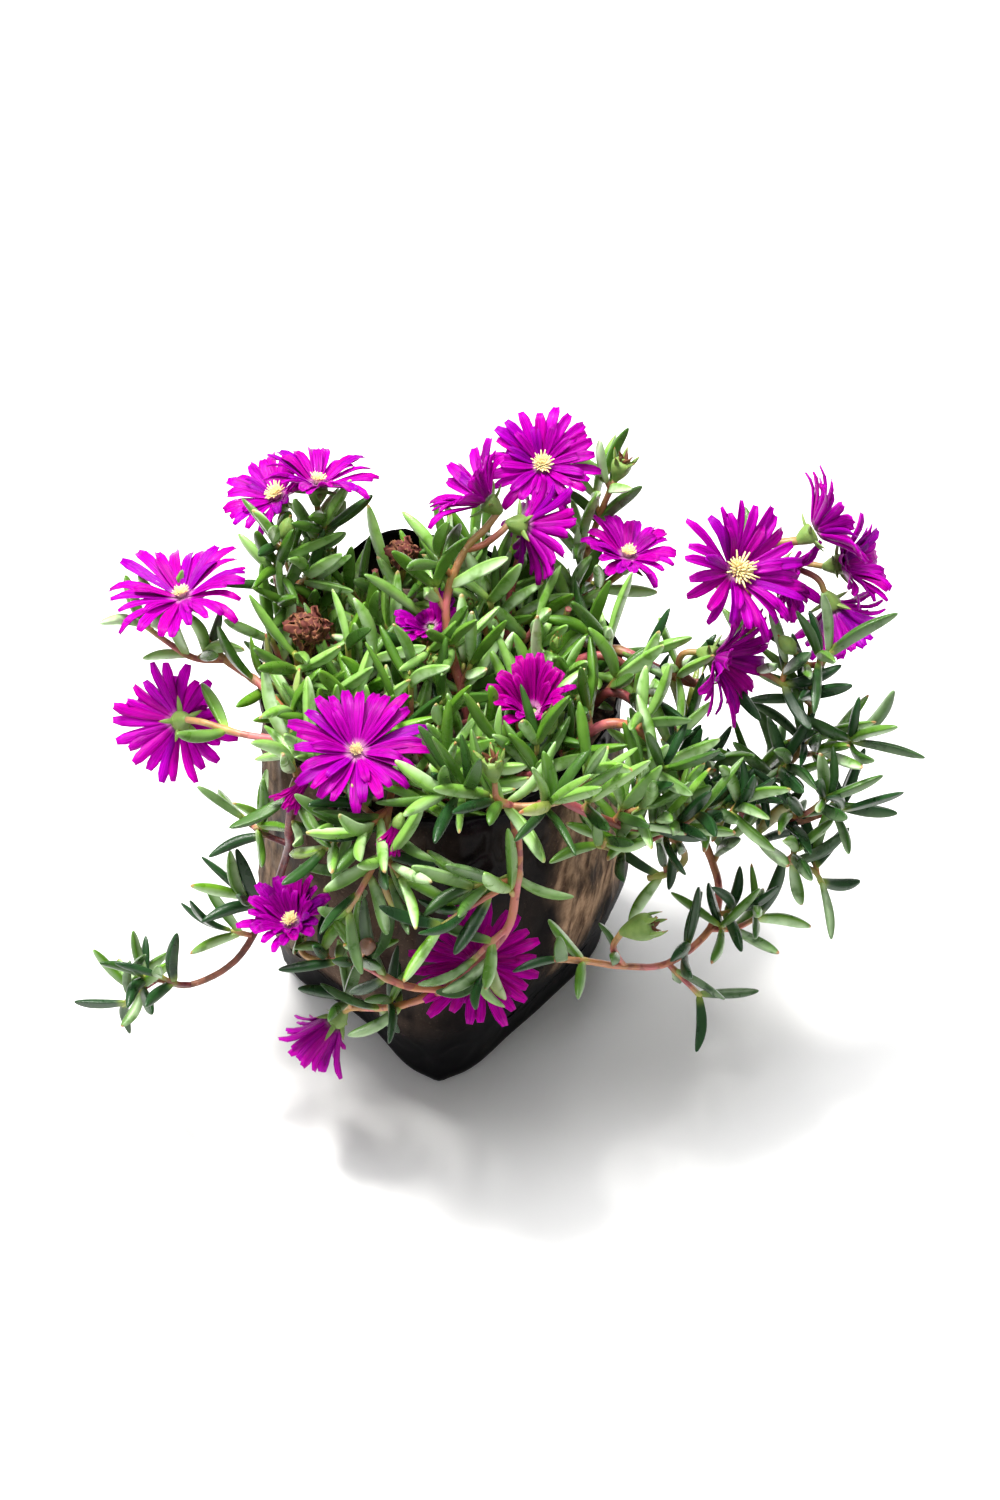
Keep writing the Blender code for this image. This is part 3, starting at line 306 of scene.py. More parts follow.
for turn in DRAIN_TURNS:
    across_wall = Vector((*turned(turn), 0.0))
    punch = bmesh.new()
    bmesh.ops.create_cone(punch, cap_ends=True, segments=16, radius1=DRAIN_RADIUS * MM,
                          radius2=DRAIN_RADIUS * MM, depth=12.0 * MM)
    bmesh.ops.rotate(punch, verts=punch.verts[:], matrix=across_wall.to_track_quat("Z", "Y").to_matrix())
    reach = bag_radius(math.radians(turn), DRAIN_HEIGHT)
    bmesh.ops.translate(punch, verts=punch.verts[:],
                        vec=(across_wall * reach + Vector((0.0, 0.0, DRAIN_HEIGHT))) * MM)
    cutter = piece_of(punch, "punch")
    bpy.context.scene.collection.objects.unlink(cutter)
    punches.objects.link(cutter)
drain = grow_bag.modifiers.new("drain", "BOOLEAN")
drain.operation = "DIFFERENCE"
drain.operand_type = "COLLECTION"
drain.collection = punches
drain.solver = "EXACT"
applied(grow_bag)
for cutter in list(punches.objects):
    bpy.data.objects.remove(cutter, do_unlink=True)
bpy.data.collections.remove(punches)

film = Finish("dusty_black_film", {"Specular IOR Level": 0.0, "Coat Roughness": 0.17, "Coat IOR": 1.3})
east, north, height = film.axes()
cloud = film.grain(34.0, 5.0)
streak = film.grain(60.0, 3.0, film.place((1.0, 1.0, 0.12)))
leaning = film.node("ShaderNodeCombineXYZ", {}, {0: east - height * 0.35, 1: north, 2: height * 0.10})
fibre = film.grain(240.0, 3.0, leaning)
speck = film.grain(900.0, 2.0)
# the front corner is rubbed clean, and dust stays on both flanks and behind
drift = east + streak * 0.030 + cloud * 0.020 - 0.025
front = north.between(0.012, -0.030)
flanks = 1.0 - drift.between(-0.026, 0.006) * (1.0 - drift.between(0.040, 0.054)) * front
upper = (height + east * -0.30).between(0.036, 0.074)
upper = upper * (0.189 - height + east * -0.12).between(0.0, 0.014)
band = (cloud * 0.55 + streak * 0.45).between(0.32, 0.56)
dust = (upper * band * (flanks * 0.85 + 0.15) * (speck * 0.5 + 0.6) * (front * 0.5 + 0.5)).held()
clean = film.mixed(cloud, screen(3, 3, 5), screen(9, 8, 10))
dust_and_painted_light = film.mixed(streak, screen(66, 53, 45), screen(110, 90, 77))
dust_and_painted_light = film.mixed(front, film.mixed(streak, screen(58, 54, 52), screen(92, 87, 83)), dust_and_painted_light)
# painted sunlight: the left and right edges of the front are painted a lighter, streaky tan, as if lit
lit = (drift.between(-0.060, -0.074) * 0.8 + drift.between(0.040, 0.056)) * front
sunlit = film.mixed(fibre.between(0.3, 0.7), screen(84, 64, 50), screen(190, 156, 126))
dust_and_painted_light = film.mixed(lit.held(), dust_and_painted_light, sunlit)
dust_and_painted_light = film.mixed(speck.between(0.64, 0.72) * 0.4, dust_and_painted_light, screen(150, 128, 108))
crinkle = film.grain(46.0, 6.0, film.place((1.0, 1.0, 0.5)))
fold = ((crinkle - 0.5) * (crinkle - 0.5)).between(0.0, 0.0022)
# painted shade: the film is painted a little darker along its crease lines
dust_and_painted_light = film.mixed(fold * 0.2 + 0.8, screen(30, 24, 21), dust_and_painted_light)
crumple = film.node("ShaderNodeTexVoronoi", {"feature": "DISTANCE_TO_EDGE"},
                    {"Scale": 40.0, "Vector": film.place((1.0, 1.0, 0.6))}, "Distance")
creased = film.raised(fold * 0.35 + crinkle + crumple * 1.3, 0.0016, 0.8)
grit = film.raised(dust * speck, 0.0003, 0.6, creased)
gloss = (0.17 - dust * 0.14).held()
looks = film.done(colour=film.mixed(dust, clean, dust_and_painted_light), rough=dust * 0.3 + 0.5, coat=gloss, normal=grit)
grow_bag.data.materials.clear()
grow_bag.data.materials.append(looks)
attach(grow_bag, "root")
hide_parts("grow_bag")

# The potting soil is dark peat and bark, pressed into the bag nearly to its rim; the stems root in it.
# Its top is uneven, with loose crumbs and a few pale grains lying on it.
SOIL_TOP = 175.0
SOIL_INSET = 1.75
CRUMBS = 620
SOIL_SIDES = 120

core = [(0.0, 1.45), (0.94, 1.45), (0.99, 6.0)] + [(1.0, 6.0 + 13.0 * step) for step in range(1, 13)]
core += [(1.0, SOIL_TOP - 1.5), (0.995, SOIL_TOP)]
core += [(0.995 - 0.0355 * step, SOIL_TOP) for step in range(1, 28)]
core += [(0.0, SOIL_TOP)]
plug = spun_round(core, SOIL_SIDES)
for point in plug.verts:
    turn, z = math.atan2(point.co.y, point.co.x), point.co.z
    share = math.hypot(point.co.x, point.co.y)
    radius = (bag_radius(turn, z) - SOIL_INSET) * share
    lump = 0.0
    if z > SOIL_TOP - 1.0:
        spot = Vector((radius * math.cos(turn), radius * math.sin(turn), 0.0))
        lump = 2.2 * noise.noise(spot / 17.0) + 1.3 * noise.noise(spot / 6.0) + 0.7 * noise.noise(spot / 2.6)
    point.co = Vector((radius * math.cos(turn), radius * math.sin(turn), z + lump)) * MM
soil = piece_of(plug, "potting_soil")

draw = random.Random(11)
crumbs = bmesh.new()
for index in range(CRUMBS):
    off, turn = 70.0 * math.sqrt(draw.random()), draw.uniform(0.0, math.tau)
    size = draw.uniform(0.5, 1.9)
    lump = bmesh.ops.create_icosphere(crumbs, subdivisions=1, radius=size * MM)["verts"]
    rest = Vector((off * math.cos(turn), off * math.sin(turn), SOIL_TOP + 0.3))
    for point in lump:
        point.co = (point.co * draw.uniform(0.6, 1.15)) + rest * MM
soil_crumbs = piece_of(crumbs, "soil_crumbs")

peat = Finish("dark_peat", {})
clod = peat.grain(210.0, 6.0)
fleck = peat.grain(1300.0, 2.0)
loam = peat.mixed(clod.between(0.35, 0.65), screen(34, 25, 19), screen(86, 66, 50))
loam = peat.mixed(fleck.between(0.66, 0.74), loam, screen(150, 126, 100))
crumbly = peat.raised(clod * 0.7 + fleck * 0.3, 0.0012, 0.9)
for piece in (soil, soil_crumbs):
    piece.data.materials.append(peat.done(colour=loam, rough=0.82 + fleck * 0.15, normal=crumbly))
    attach(piece, "root")
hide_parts("soil")

# The stems are thin woody runners that root in the soil, climb over the rim and hang or lie out at both
# sides. They are pink and orange-brown where young and dark red-brown where old, with a swelling at each
# pair of leaves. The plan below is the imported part's own, so that each grows where its solid is.
DISC_RADIUS = 4.2
SEAT_GAP = 0.3
CALYX_LENGTH = 9.0
ROOT_DEPTH = 12.7
# a line keeps a point only where it bends by this many degrees
BEND_KEPT = 19.0
# the air round each leaf; how deep it may touch its own stem, and how near its joint it may do so freely
FREE_GAP = 0.7
OWN_SINK = 0.2
OWN_REACH = 6.5
MOST_BALLS = 60000
# where the rings of a leaf stand, as shares of its length
LEAF_PARTS = (0.0, 0.2, 0.34, 0.47, 0.6, 0.73, 0.86, 1.0)
# shoots and petals that follow one another turn by this angle, so that none hides the next
GOLDEN_TURN = 137.5
# the blooms: middle of the petal disc, the way it faces, petal length, cup angle, main petals
BLOOMS = {
    "01": ((-101, 7, 228), (-0.15, 0.12, 0.98), 27, 8, 13),
    "02": ((-104, -22, 186), (-0.45, 0.50, -0.74), 22, 12, 12),
    "03": ((-66, 60, 231), (-0.30, -0.10, 0.95), 19, 14, 11),
    "04": ((-48, 49, 249), (0.10, 0.38, 0.92), 21, 14, 11),
    "05": ((-30, -64, 217), (0.05, -0.25, 0.96), 24, 12, 13),
    "06": ((-59, -81, 130), (-0.20, -0.10, 0.97), 19, 40, 12),
    "07": ((-44, -93, 76), (-0.55, -0.15, -0.82), 22, 58, 11),
    "08": ((16, -97, 125), (0.05, -0.62, 0.78), 24, 14, 12),
    "09": ((42, 65, 244), (0.05, -0.45, 0.89), 20, 14, 12),
    "10": ((19, 41, 249), (-0.72, 0.25, 0.65), 22, 36, 11),
    "11": ((35, 38, 237), (0.70, 0.25, -0.38), 21, 22, 11),
    "12": ((77, 40, 217), (0.15, 0.10, 0.98), 18, 18, 11),
    "13": ((117, 8, 241), (0.48, -0.42, 0.77), 27, 18, 13),
    "14": ((111, -12, 213), (0.80, -0.50, 0.10), 24, 26, 11),
    "15": ((151, 32, 240), (0.85, 0.35, 0.35), 23, 30, 11),
    "16": ((139, 26, 221), (0.76, -0.50, 0.12), 17, 34, 11),
    "17": ((160, 20, 208), (0.45, -0.15, -0.88), 20, 34, 11),
    "18": ((38, -30, 202), (-0.10, -0.10, 0.98), 19, 50, 11),
    "19": ((-3, 14, 203), (-0.15, -0.10, 0.97), 13, 46, 11),
    "20": ((165, 37, 216), (0.85, -0.20, 0.42), 20, 30, 11),
}
NO_STAMENS = ("02", "17", "18", "19", "20")


def calyx_foot(bloom):
    middle, facing = BLOOMS[bloom][0], Vector(BLOOMS[bloom][1]).normalized()
    return tuple(Vector(middle) - facing * (CALYX_LENGTH + SEAT_GAP - 1.6))


# Each stem: where it roots, and its routes of points, radii, leaf pairs and what its tip bears.
STEMS = {
    "stem_left_upper": {
        "root": (-40, -24),
        "routes": [
            {"at": [(-40, -25, 178), (-47, -29, 190), (-57, -29, 195), (-71, -15, 201),
                    (-85, -5, 204), (-94, 2, 210), calyx_foot("01")],
             "r": (1.8, 1.3), "pairs": (0.34, 0.62, 2, 25, 20), "tip": "01"},
            {"at": [(-85, -5, 204), (-98, -2, 202), (-110, 4, 206), (-119, 8, 212)],
             "r": (1.3, 1.0), "pairs": (0.45, 0.95, 2, 20, 60), "tip": "leaves"},
        ],
    },
    "stem_left_lower": {
        "root": (-24, -38),
        "routes": [
            {"at": [(-24, -38, 178), (-38, -46, 192), (-58, -42, 197), (-78, -36, 195),
                    (-92, -32, 197), calyx_foot("02")],
             "r": (1.7, 1.2), "pairs": (0.55, 0.80, 2, 24, 70), "tip": "02"},
        ],
    },
    "stem_left_back": {
        "root": (-46, 22),
        "routes": [
            {"at": [(-46, 22, 178), (-53, 28, 195), (-61, 38, 212), (-65, 52, 222),
                    calyx_foot("03")],
             "r": (1.8, 1.3), "pairs": (0.45, 0.70, 2, 20, 0), "tip": "03"},
            {"at": [(-53, 28, 195), (-50, 36, 212), (-48, 43, 232), calyx_foot("04")],
             "r": (1.4, 1.2), "pairs": (0.35, 0.70, 2, 20, 40), "tip": "04"},
            {"at": [(-53, 28, 195), (-62, 26, 205), (-66, 30, 218), (-62, 34, 232)],
             "r": (1.4, 1.1), "pairs": (0.45, 0.80, 2, 22, 10), "tip": "bud"},
        ],
    },
    "stem_front_left": {
        "root": (-12, -54),
        "routes": [
            {"at": [(-12, -54, 178), (-17, -60, 192), (-26, -62, 203), calyx_foot("05")],
             "r": (1.8, 1.4), "pairs": (0.35, 0.70, 2, 26, 30), "tip": "05"},
            {"at": [(-17, -60, 192), (-18, -76, 197), (-20, -89, 190), (-20, -95, 174),
                    (-16, -97, 160)],
             "r": (1.4, 1.1), "pairs": (0.35, 0.95, 4, 26, 20), "tip": "leaves"},
            {"at": [(-18, -76, 197), (-34, -84, 194), (-44, -88, 186)],
             "r": (1.2, 1.0), "pairs": (0.5, 0.95, 2, 24, 60), "tip": "leaves"},
            {"at": [(-20, -89, 190), (-28, -98, 177), (-35, -101, 163)],
             "r": (1.2, 1.0), "pairs": (0.4, 0.95, 3, 26, 15), "tip": "leaves"},
        ],
    },
    "stem_front_dark": {
        "root": (-48, -41),
        "routes": [
            {"at": [(-48, -41, 178), (-51, -52, 194), (-54, -64, 199), (-56, -72, 192),
                    (-58, -70, 174), (-60, -58, 152), (-64, -54, 132), (-72, -60, 110),
                    (-85, -74, 94), (-104, -80, 85), (-118, -78, 86), (-127, -77, 82)],
             "r": (1.9, 1.2), "pairs": (0.24, 0.24, 1, 28, 0), "tip": "leaves"},
            {"at": [(-60, -58, 152), (-71, -53, 153), (-80, -48, 158)],
             "r": (1.2, 1.0), "pairs": (0.5, 0.95, 2, 22, 30), "tip": "leaves"},
            {"at": [(-104, -80, 85), (-110, -84, 92), (-116, -86, 101)],
             "r": (1.1, 0.9), "pairs": (0.5, 0.9, 2, 18, 50), "tip": "leaves"},
            {"at": [(-118, -78, 86), (-128, -80, 78), (-134, -80, 70)],
             "r": (1.1, 0.9), "pairs": (0.4, 0.9, 2, 17, 0), "tip": "leaves"},
        ],
    },
    "stem_front": {
        "root": (3, -48),
        "routes": [
            {"at": [(3, -48, 178), (1, -60, 195), (10, -72, 206), (30, -84, 209),
                    (47, -84, 212), (60, -80, 219)],
             "r": (2.0, 1.3), "pairs": (0.42, 0.95, 3, 24, 40), "tip": "leaves"},
            {"at": [(30, -84, 209), (32, -93, 190), (31, -99, 174), (28, -104, 158),
                    (17, -108, 141), (3, -112, 127)],
             "r": (1.7, 1.5), "pairs": (0.32, 0.32, 1, 27, 10), "tip": ""},
            {"at": [(30, -84, 209), (24, -86, 216), (23, -84, 224)],
             "r": (1.2, 1.0), "pairs": (0.4, 0.4, 1, 15, 10), "tip": "bud"},
            {"at": [(3, -112, 127), (-14, -112, 131), (-32, -100, 129), (-46, -92, 119),
                    (-55, -85, 114), calyx_foot("06")],
             "r": (1.4, 1.2), "pairs": (0.30, 0.62, 2, 24, 70), "tip": "06"},
            {"at": [(-32, -100, 129), (-31, -104, 137), (-28, -106, 146)],
             "r": (1.2, 1.2), "pairs": (0.3, 0.3, 1, 14, 0), "tip": "bud"},
            {"at": [(3, -112, 127), (-8, -110, 117), (-18, -106, 107), (-28, -100, 97),
                    (-36, -95, 90), calyx_foot("07")],
             "r": (1.4, 1.2), "pairs": (0.40, 0.60, 2, 24, 20), "tip": "07"},
            {"at": [(-8, -110, 117), (-7, -101, 106), (0, -93, 101), (10, -87, 107),
                    calyx_foot("08")],
             "r": (1.3, 1.3), "pairs": (0.4, 0.4, 0, 20, 0), "tip": "08"},
            {"at": [(28, -104, 158), (21, -110, 156), (14, -112, 147)],
             "r": (1.2, 1.0), "pairs": (0.4, 0.95, 2, 21, 40), "tip": "leaves"},
        ],
    },
    "stem_right_front": {
        "root": (32, -46),
        "routes": [
            {"at": [(32, -46, 178), (38, -58, 195), (52, -70, 193), (71, -65, 174),
                    (91, -53, 153), (101, -48, 132), (97, -45, 117), (87, -44, 111)],
             "r": (1.9, 1.3), "pairs": (0.55, 0.97, 3, 22, 30), "tip": "leaves"},
            {"at": [(91, -53, 153), (81, -60, 154), (71, -65, 158), (63, -69, 166)],
             "r": (1.2, 1.0), "pairs": (0.55, 0.95, 2, 22, 10), "tip": "leaves"},
            {"at": [(71, -65, 174), (79, -58, 184), (86, -50, 192)],
             "r": (1.3, 1.0), "pairs": (0.45, 0.95, 2, 24, 40), "tip": "leaves"},
            {"at": [(91, -53, 153), (98, -56, 162), (104, -58, 172)],
             "r": (1.2, 1.0), "pairs": (0.45, 0.95, 2, 22, 80), "tip": "leaves"},
        ],
    },
    "stem_right_low": {
        "root": (54, -30),
        "routes": [
            {"at": [(54, -30, 178), (66, -33, 197), (81, -34, 194), (93, -34, 170),
                    (103, -33, 146), (111, -35, 122), (117, -44, 104), (113, -58, 94),
                    (95, -74, 92), (76, -84, 104), (61, -93, 120), (47, -103, 136)],
             "r": (1.9, 1.2), "pairs": (0.93, 0.99, 2, 18, 20), "tip": "leaves"},
            {"at": [(113, -58, 94), (124, -58, 95), (134, -54, 98)],
             "r": (1.2, 1.0), "pairs": (0.45, 0.95, 2, 24, 20), "tip": "leaves"},
            {"at": [(95, -74, 92), (103, -78, 84), (109, -80, 77)],
             "r": (1.2, 1.0), "pairs": (0.25, 0.95, 2, 24, 60), "tip": "leaves"},
            {"at": [(76, -84, 104), (71, -85, 118), (74, -85, 129)],
             "r": (1.2, 1.2), "pairs": (0.4, 0.4, 1, 13, 0), "tip": "pod"},
            {"at": [(103, -33, 146), (112, -42, 152), (120, -48, 160)],
             "r": (1.2, 1.0), "pairs": (0.45, 0.95, 2, 24, 10), "tip": "leaves"},
        ],
    },
    "stem_right": {
        "root": (61, -10),
        "routes": [
            {"at": [(61, -10, 178), (69, -14, 195), (81, -18, 190), (88, -22, 168),
                    (95, -22, 146), (110, -19, 134), (133, -16, 142), (148, -12, 153),
                    (152, -8, 172), (151, -5, 190), (154, -4, 200), (160, -1, 209)],
             "r": (1.9, 1.2), "pairs": (0.66, 0.98, 4, 25, 15), "tip": "leaves"},
            {"at": [(154, -4, 200), (147, -8, 205), (142, -8, 212)],
             "r": (1.2, 1.1), "pairs": (0.5, 0.5, 1, 16, 0), "tip": "bud"},
            {"at": [(148, -12, 153), (160, -14, 158), (170, -14, 166)],
             "r": (1.2, 1.0), "pairs": (0.45, 0.95, 2, 26, 10), "tip": "leaves"},
            {"at": [(133, -16, 142), (138, -22, 152), (140, -26, 162)],
             "r": (1.2, 1.0), "pairs": (0.45, 0.95, 2, 23, 40), "tip": "leaves"},
        ],
    },
    "stem_right_upper": {
        "root": (60, 14),
        "routes": [
            {"at": [(60, 14, 178), (71, 9, 195), (88, 1, 193), (104, -4, 189),
                    (119, -4, 197), (126, 4, 211), (122, 12, 222), calyx_foot("13")],
             "r": (1.9, 1.4), "pairs": (0.30, 0.62, 3, 24, 25), "tip": "13"},
            {"at": [(104, -4, 189), (97, -5, 199), (98, -7, 210), calyx_foot("14")],
             "r": (1.3, 1.2), "pairs": (0.4, 0.4, 1, 20, 0), "tip": "14"},
            {"at": [(126, 4, 211), (125, 18, 216), (128, 30, 219), calyx_foot("16")],
             "r": (1.4, 1.2), "pairs": (0.35, 0.35, 0, 18, 0), "tip": "16"},
            {"at": [(125, 18, 216), (121, 30, 226), (129, 30, 233), calyx_foot("15")],
             "r": (1.3, 1.7), "pairs": (0.45, 0.45, 1, 16, 0), "tip": "15"},
            {"at": [(128, 30, 219), (134, 42, 212), (146, 44, 210), calyx_foot("20")],
             "r": (1.3, 1.2), "pairs": (0.45, 0.45, 0, 16, 0), "tip": "20"},
            {"at": [(134, 42, 212), (144, 34, 217), (153, 26, 219), calyx_foot("17")],
             "r": (1.2, 1.2), "pairs": (0.45, 0.45, 0, 16, 0), "tip": "17"},
            {"at": [(119, -4, 197), (130, -8, 200), (140, -12, 196)],
             "r": (1.2, 1.0), "pairs": (0.45, 0.95, 2, 22, 60), "tip": "leaves"},
        ],
    },
    "stem_right_outer": {
        "root": (46, -3),
        "routes": [
            {"at": [(46, -3, 178), (58, 1, 198), (74, -3, 200), (88, -11, 182),
                    (101, -12, 162), (121, -26, 146), (144, -31, 133), (158, -30, 136),
                    (168, -28, 142)],
             "r": (1.9, 1.1), "pairs": (0.56, 0.98, 4, 23, 35), "tip": "leaves"},
            {"at": [(121, -26, 146), (130, -37, 131), (142, -42, 123), (155, -45, 118),
                    (160, -48, 111)],
             "r": (1.3, 1.0), "pairs": (0.40, 0.96, 3, 23, 20), "tip": "leaves"},
            {"at": [(144, -31, 133), (150, -36, 144), (156, -38, 154)],
             "r": (1.1, 1.0), "pairs": (0.5, 0.95, 2, 20, 50), "tip": "leaves"},
        ],
    },
    "stem_back": {
        "root": (12, -12),
        "routes": [
            {"at": [(12, -12, 178), (8, -5, 194), (4, 4, 209), (4, 14, 222),
                    (11, 27, 234), (19, 34, 239), calyx_foot("10")],
             "r": (1.9, 1.3), "pairs": (0.25, 0.68, 3, 24, 0), "tip": "10"},
            {"at": [(11, 27, 234), (18, 30, 234), (25, 33, 238), calyx_foot("11")],
             "r": (1.3, 1.2), "pairs": (0.4, 0.4, 0, 20, 0), "tip": "11"},
        ],
    },
    "stem_back_right": {
        "root": (47, 34),
        "routes": [
            {"at": [(47, 34, 178), (58, 40, 192), (69, 42, 199), calyx_foot("12")],
             "r": (1.8, 1.3), "pairs": (0.40, 0.75, 2, 22, 0), "tip": "12"},
            {"at": [(58, 40, 192), (62, 55, 208), (68, 62, 226), (72, 63, 238)],
             "r": (1.4, 1.1), "pairs": (0.35, 0.90, 3, 18, 30), "tip": "pod"},
        ],
    },
    "shoots_left": {
        "root": (-56, 2), "bush": (3, 15, 204, 0),
        "routes": [{"at": [(-56, 2, 178), (-54, 3, 190), (-52, 3, 201), (-52, 3, 207)], "r": (1.6, 1.3),
                    "pairs": (0.4, 0.4, 0, 18, 0), "tip": ""}],
    },
    "shoots_left_back": {
        "root": (-24, 40), "bush": (3, 15, 208, 50),
        "routes": [{"at": [(-24, 40, 178), (-19, 42, 192), (-15, 43, 205), (-15, 43, 211)], "r": (1.6, 1.3),
                    "pairs": (0.4, 0.4, 0, 18, 0), "tip": ""}],
    },
    "shoots_left_front": {"root": (-36, -4), "bush": (3, 11, 203, 100), "routes": []},
    "shoots_middle": {
        "root": (-7, 14), "bush": (3, 15, 205, 20),
        "routes": [{"at": [(-7, 14, 178), (-5, 15, 187), calyx_foot("19")], "r": (1.5, 1.2),
                    "pairs": (0.4, 0.4, 0, 18, 0), "tip": "19"}],
    },
    "shoots_front": {"root": (-11, -24), "bush": (3, 13, 206, 95), "routes": []},
    "shoots_right": {
        "root": (36, -24), "bush": (3, 13, 203, 140),
        "routes": [{"at": [(36, -24, 178), (37, -27, 186), calyx_foot("18")], "r": (1.6, 1.3),
                    "pairs": (0.5, 0.5, 1, 20, 0), "tip": "18"}],
    },
    "shoots_right_back": {
        "root": (27, 22), "bush": (3, 14, 207, 200),
        "routes": [{"at": [(27, 22, 178), (30, 40, 200), (38, 56, 222), (44, 66, 234),
                           calyx_foot("09")], "r": (1.7, 1.3),
                    "pairs": (0.35, 0.65, 2, 22, 0), "tip": "09"}],
    },
    "shoots_back": {"root": (8, 52), "bush": (3, 14, 206, 250), "routes": []},
}

# Dried heads: the tip of the bare stalk each sits on, and its size.
DRIED_HEADS = {
    "dried_head_left": ((-52, 3, 207), 7.5),
    "dried_head_back": ((-15, 43, 211), 5.6),
}


def head_middle(tip, size):
    return Vector(tip) + Vector((0.0, 0.0, SEAT_GAP + 0.8 * size))


class Room:
    """Keeps the balls that fill every placed piece, and tells if new ones are clear."""

    def __init__(self):
        self.at = np.zeros((MOST_BALLS, 3))
        self.size = np.zeros(MOST_BALLS)
        self.owner = np.zeros(MOST_BALLS, dtype=int)
        self.names = {}
        self.count = 0

    def add(self, balls, owner):
        number = self.names.setdefault(owner, len(self.names))
        for at, size in balls:
            self.at[self.count] = tuple(at)
            self.size[self.count] = size
            self.owner[self.count] = number
            self.count += 1

    def clear(self, balls, owner, gap=FREE_GAP, base=None):
        """True where a leaf's balls have room beside the bag and among what has grown."""
        for place, reach in balls:
            if place[2] - reach < 2.0 or not beside_bag(place, reach + gap + 0.6):
                return False
        spots = np.array([tuple(place) for place, reach in balls])
        reaches = np.array([reach for place, reach in balls])
        middle = spots.mean(axis=0)
        far = np.abs(spots - middle).max() + 14.0
        near = np.abs(self.at[:self.count] - middle).max(axis=1) < far
        at, size = self.at[:self.count][near], self.size[:self.count][near]
        held_by = self.owner[:self.count][near]
        if not len(at):
            return True
        mine = held_by == self.names.get(owner, -1)
        away = np.sqrt(((at[:, None, :] - spots[None, :, :]) ** 2).sum(axis=2))
        touch = away - size[:, None] - reaches[None, :]
        if (touch[~mine] < gap).any():
            return False
        if base is not None and mine.any():
            grown = np.sqrt(((at - np.array(tuple(base))) ** 2).sum(axis=1)) > OWN_REACH
            if (touch[mine & grown] < -OWN_SINK).any():
                return False
        return True


def beside_bag(place, reach):
    """True where a ball is wholly outside the bag or inside it over the soil."""
    if place[2] > BAG_HEIGHT + reach:
        return True
    off = math.hypot(place[0], place[1])
    wall = bag_radius(math.atan2(place[1], place[0]), max(0.0, place[2]))
    if off - reach > wall:
        return True
    return off + reach < wall - 2.0 and place[2] - reach > SOIL_TOP + 0.5


def smooth_route(points, steps):
    """Points along an even curve through the given ones."""
    points = [Vector(point) for point in points]
    ends = [points[0] * 2.0 - points[1]] + points + [points[-1] * 2.0 - points[-2]]
    route = []
    for index in range(1, len(ends) - 2):
        p0, p1, p2, p3 = ends[index - 1:index + 3]
        for step in range(steps):
            t = step / steps
            route.append(0.5 * (2.0 * p1 + (p2 - p0) * t
                                + (2.0 * p0 - 5.0 * p1 + 4.0 * p2 - p3) * t * t
                                + (3.0 * p1 - p0 - 3.0 * p2 + p3) * t * t * t))
    route.append(points[-1])
    return route


def thinned(line, forks):
    """The same line without the points where it hardly bends; forks stay."""
    kept = [line[0]]
    for index in range(1, len(line) - 1):
        before = (line[index] - kept[-1]).normalized()
        after = (line[index + 1] - line[index]).normalized()
        at_fork = any((line[index] - fork).length < 0.1 for fork in forks)
        if at_fork or before.dot(after) < math.cos(math.radians(BEND_KEPT)):
            kept.append(line[index])
    kept.append(line[-1])
    return kept


def lengths_along(line):
    """How far along a line each of its points is."""
    lengths = [0.0]
    for first, second in zip(line, line[1:]):
        lengths.append(lengths[-1] + (second - first).length)
    return lengths


def route_at(route, part):
    """Place and direction at a part of the whole length."""
    lengths = lengths_along(route)
    want = part * lengths[-1]
    for index in range(1, len(route)):
        if want <= lengths[index] or index == len(route) - 1:
            span = max(1e-6, lengths[index] - lengths[index - 1])
            t = (want - lengths[index - 1]) / span
            way = (route[index] - route[index - 1]).normalized()
            return route[index - 1].lerp(route[index], t), way
    return route[-1], (route[-1] - route[-2]).normalized()


def across(way):
    """Two directions square to a way, the first as level as it can be."""
    up = Vector((0, 0, 1)) if abs(way.z) < 0.95 else Vector((1, 0, 0))
    side = way.cross(up).normalized()
    return side, side.cross(way).normalized()


def spoke(side, over, degrees):
    """The way out at an angle round a stem or a bloom."""
    cos, sin = turned(degrees)
    return side * cos + over * sin


def leaf_line(base, way, turn, length, spread, rise):
    """A leaf's middle line: it leaves its stem at a slant and bends up to the light."""
    out = spoke(*across(way), turn)
    lean, stand = turned(spread)
    start = (out * lean + way * stand).normalized()
    bend = (way * 0.35 + Vector((0, 0, 1)) * 0.65).normalized() * rise
    return [base + (start * s + bend * s * s) * length for s in LEAF_PARTS], out


def leaf_balls(line):
    return list(zip(line[1:], (1.7, 2.2, 2.4, 2.4, 2.1, 1.5, 0.8)))


def place_leaf(room, owner, base, way, turn, length, rise, spread, gap=FREE_GAP):
    """Finds the way a leaf can grow clear of its neighbours, or gives nothing."""
    for size in (1.0, 0.8, 0.62):
        for swing in (0, 22, -22, 45, -45):
            for lift in (0, 18, -18):
                line, out = leaf_line(base, way, turn + swing, length * size,
                                      spread + lift, rise)
                if room.clear(leaf_balls(line), owner, gap, base):
                    room.add(leaf_balls(line), owner)
                    return {"line": line, "out": out, "size": size, "tone": 0.0}
    return None


def bloom_frame(bloom):
    middle, facing = BLOOMS[bloom][0], Vector(BLOOMS[bloom][1]).normalized()
    side, over = across(facing)
    return Vector(middle), side, over, facing


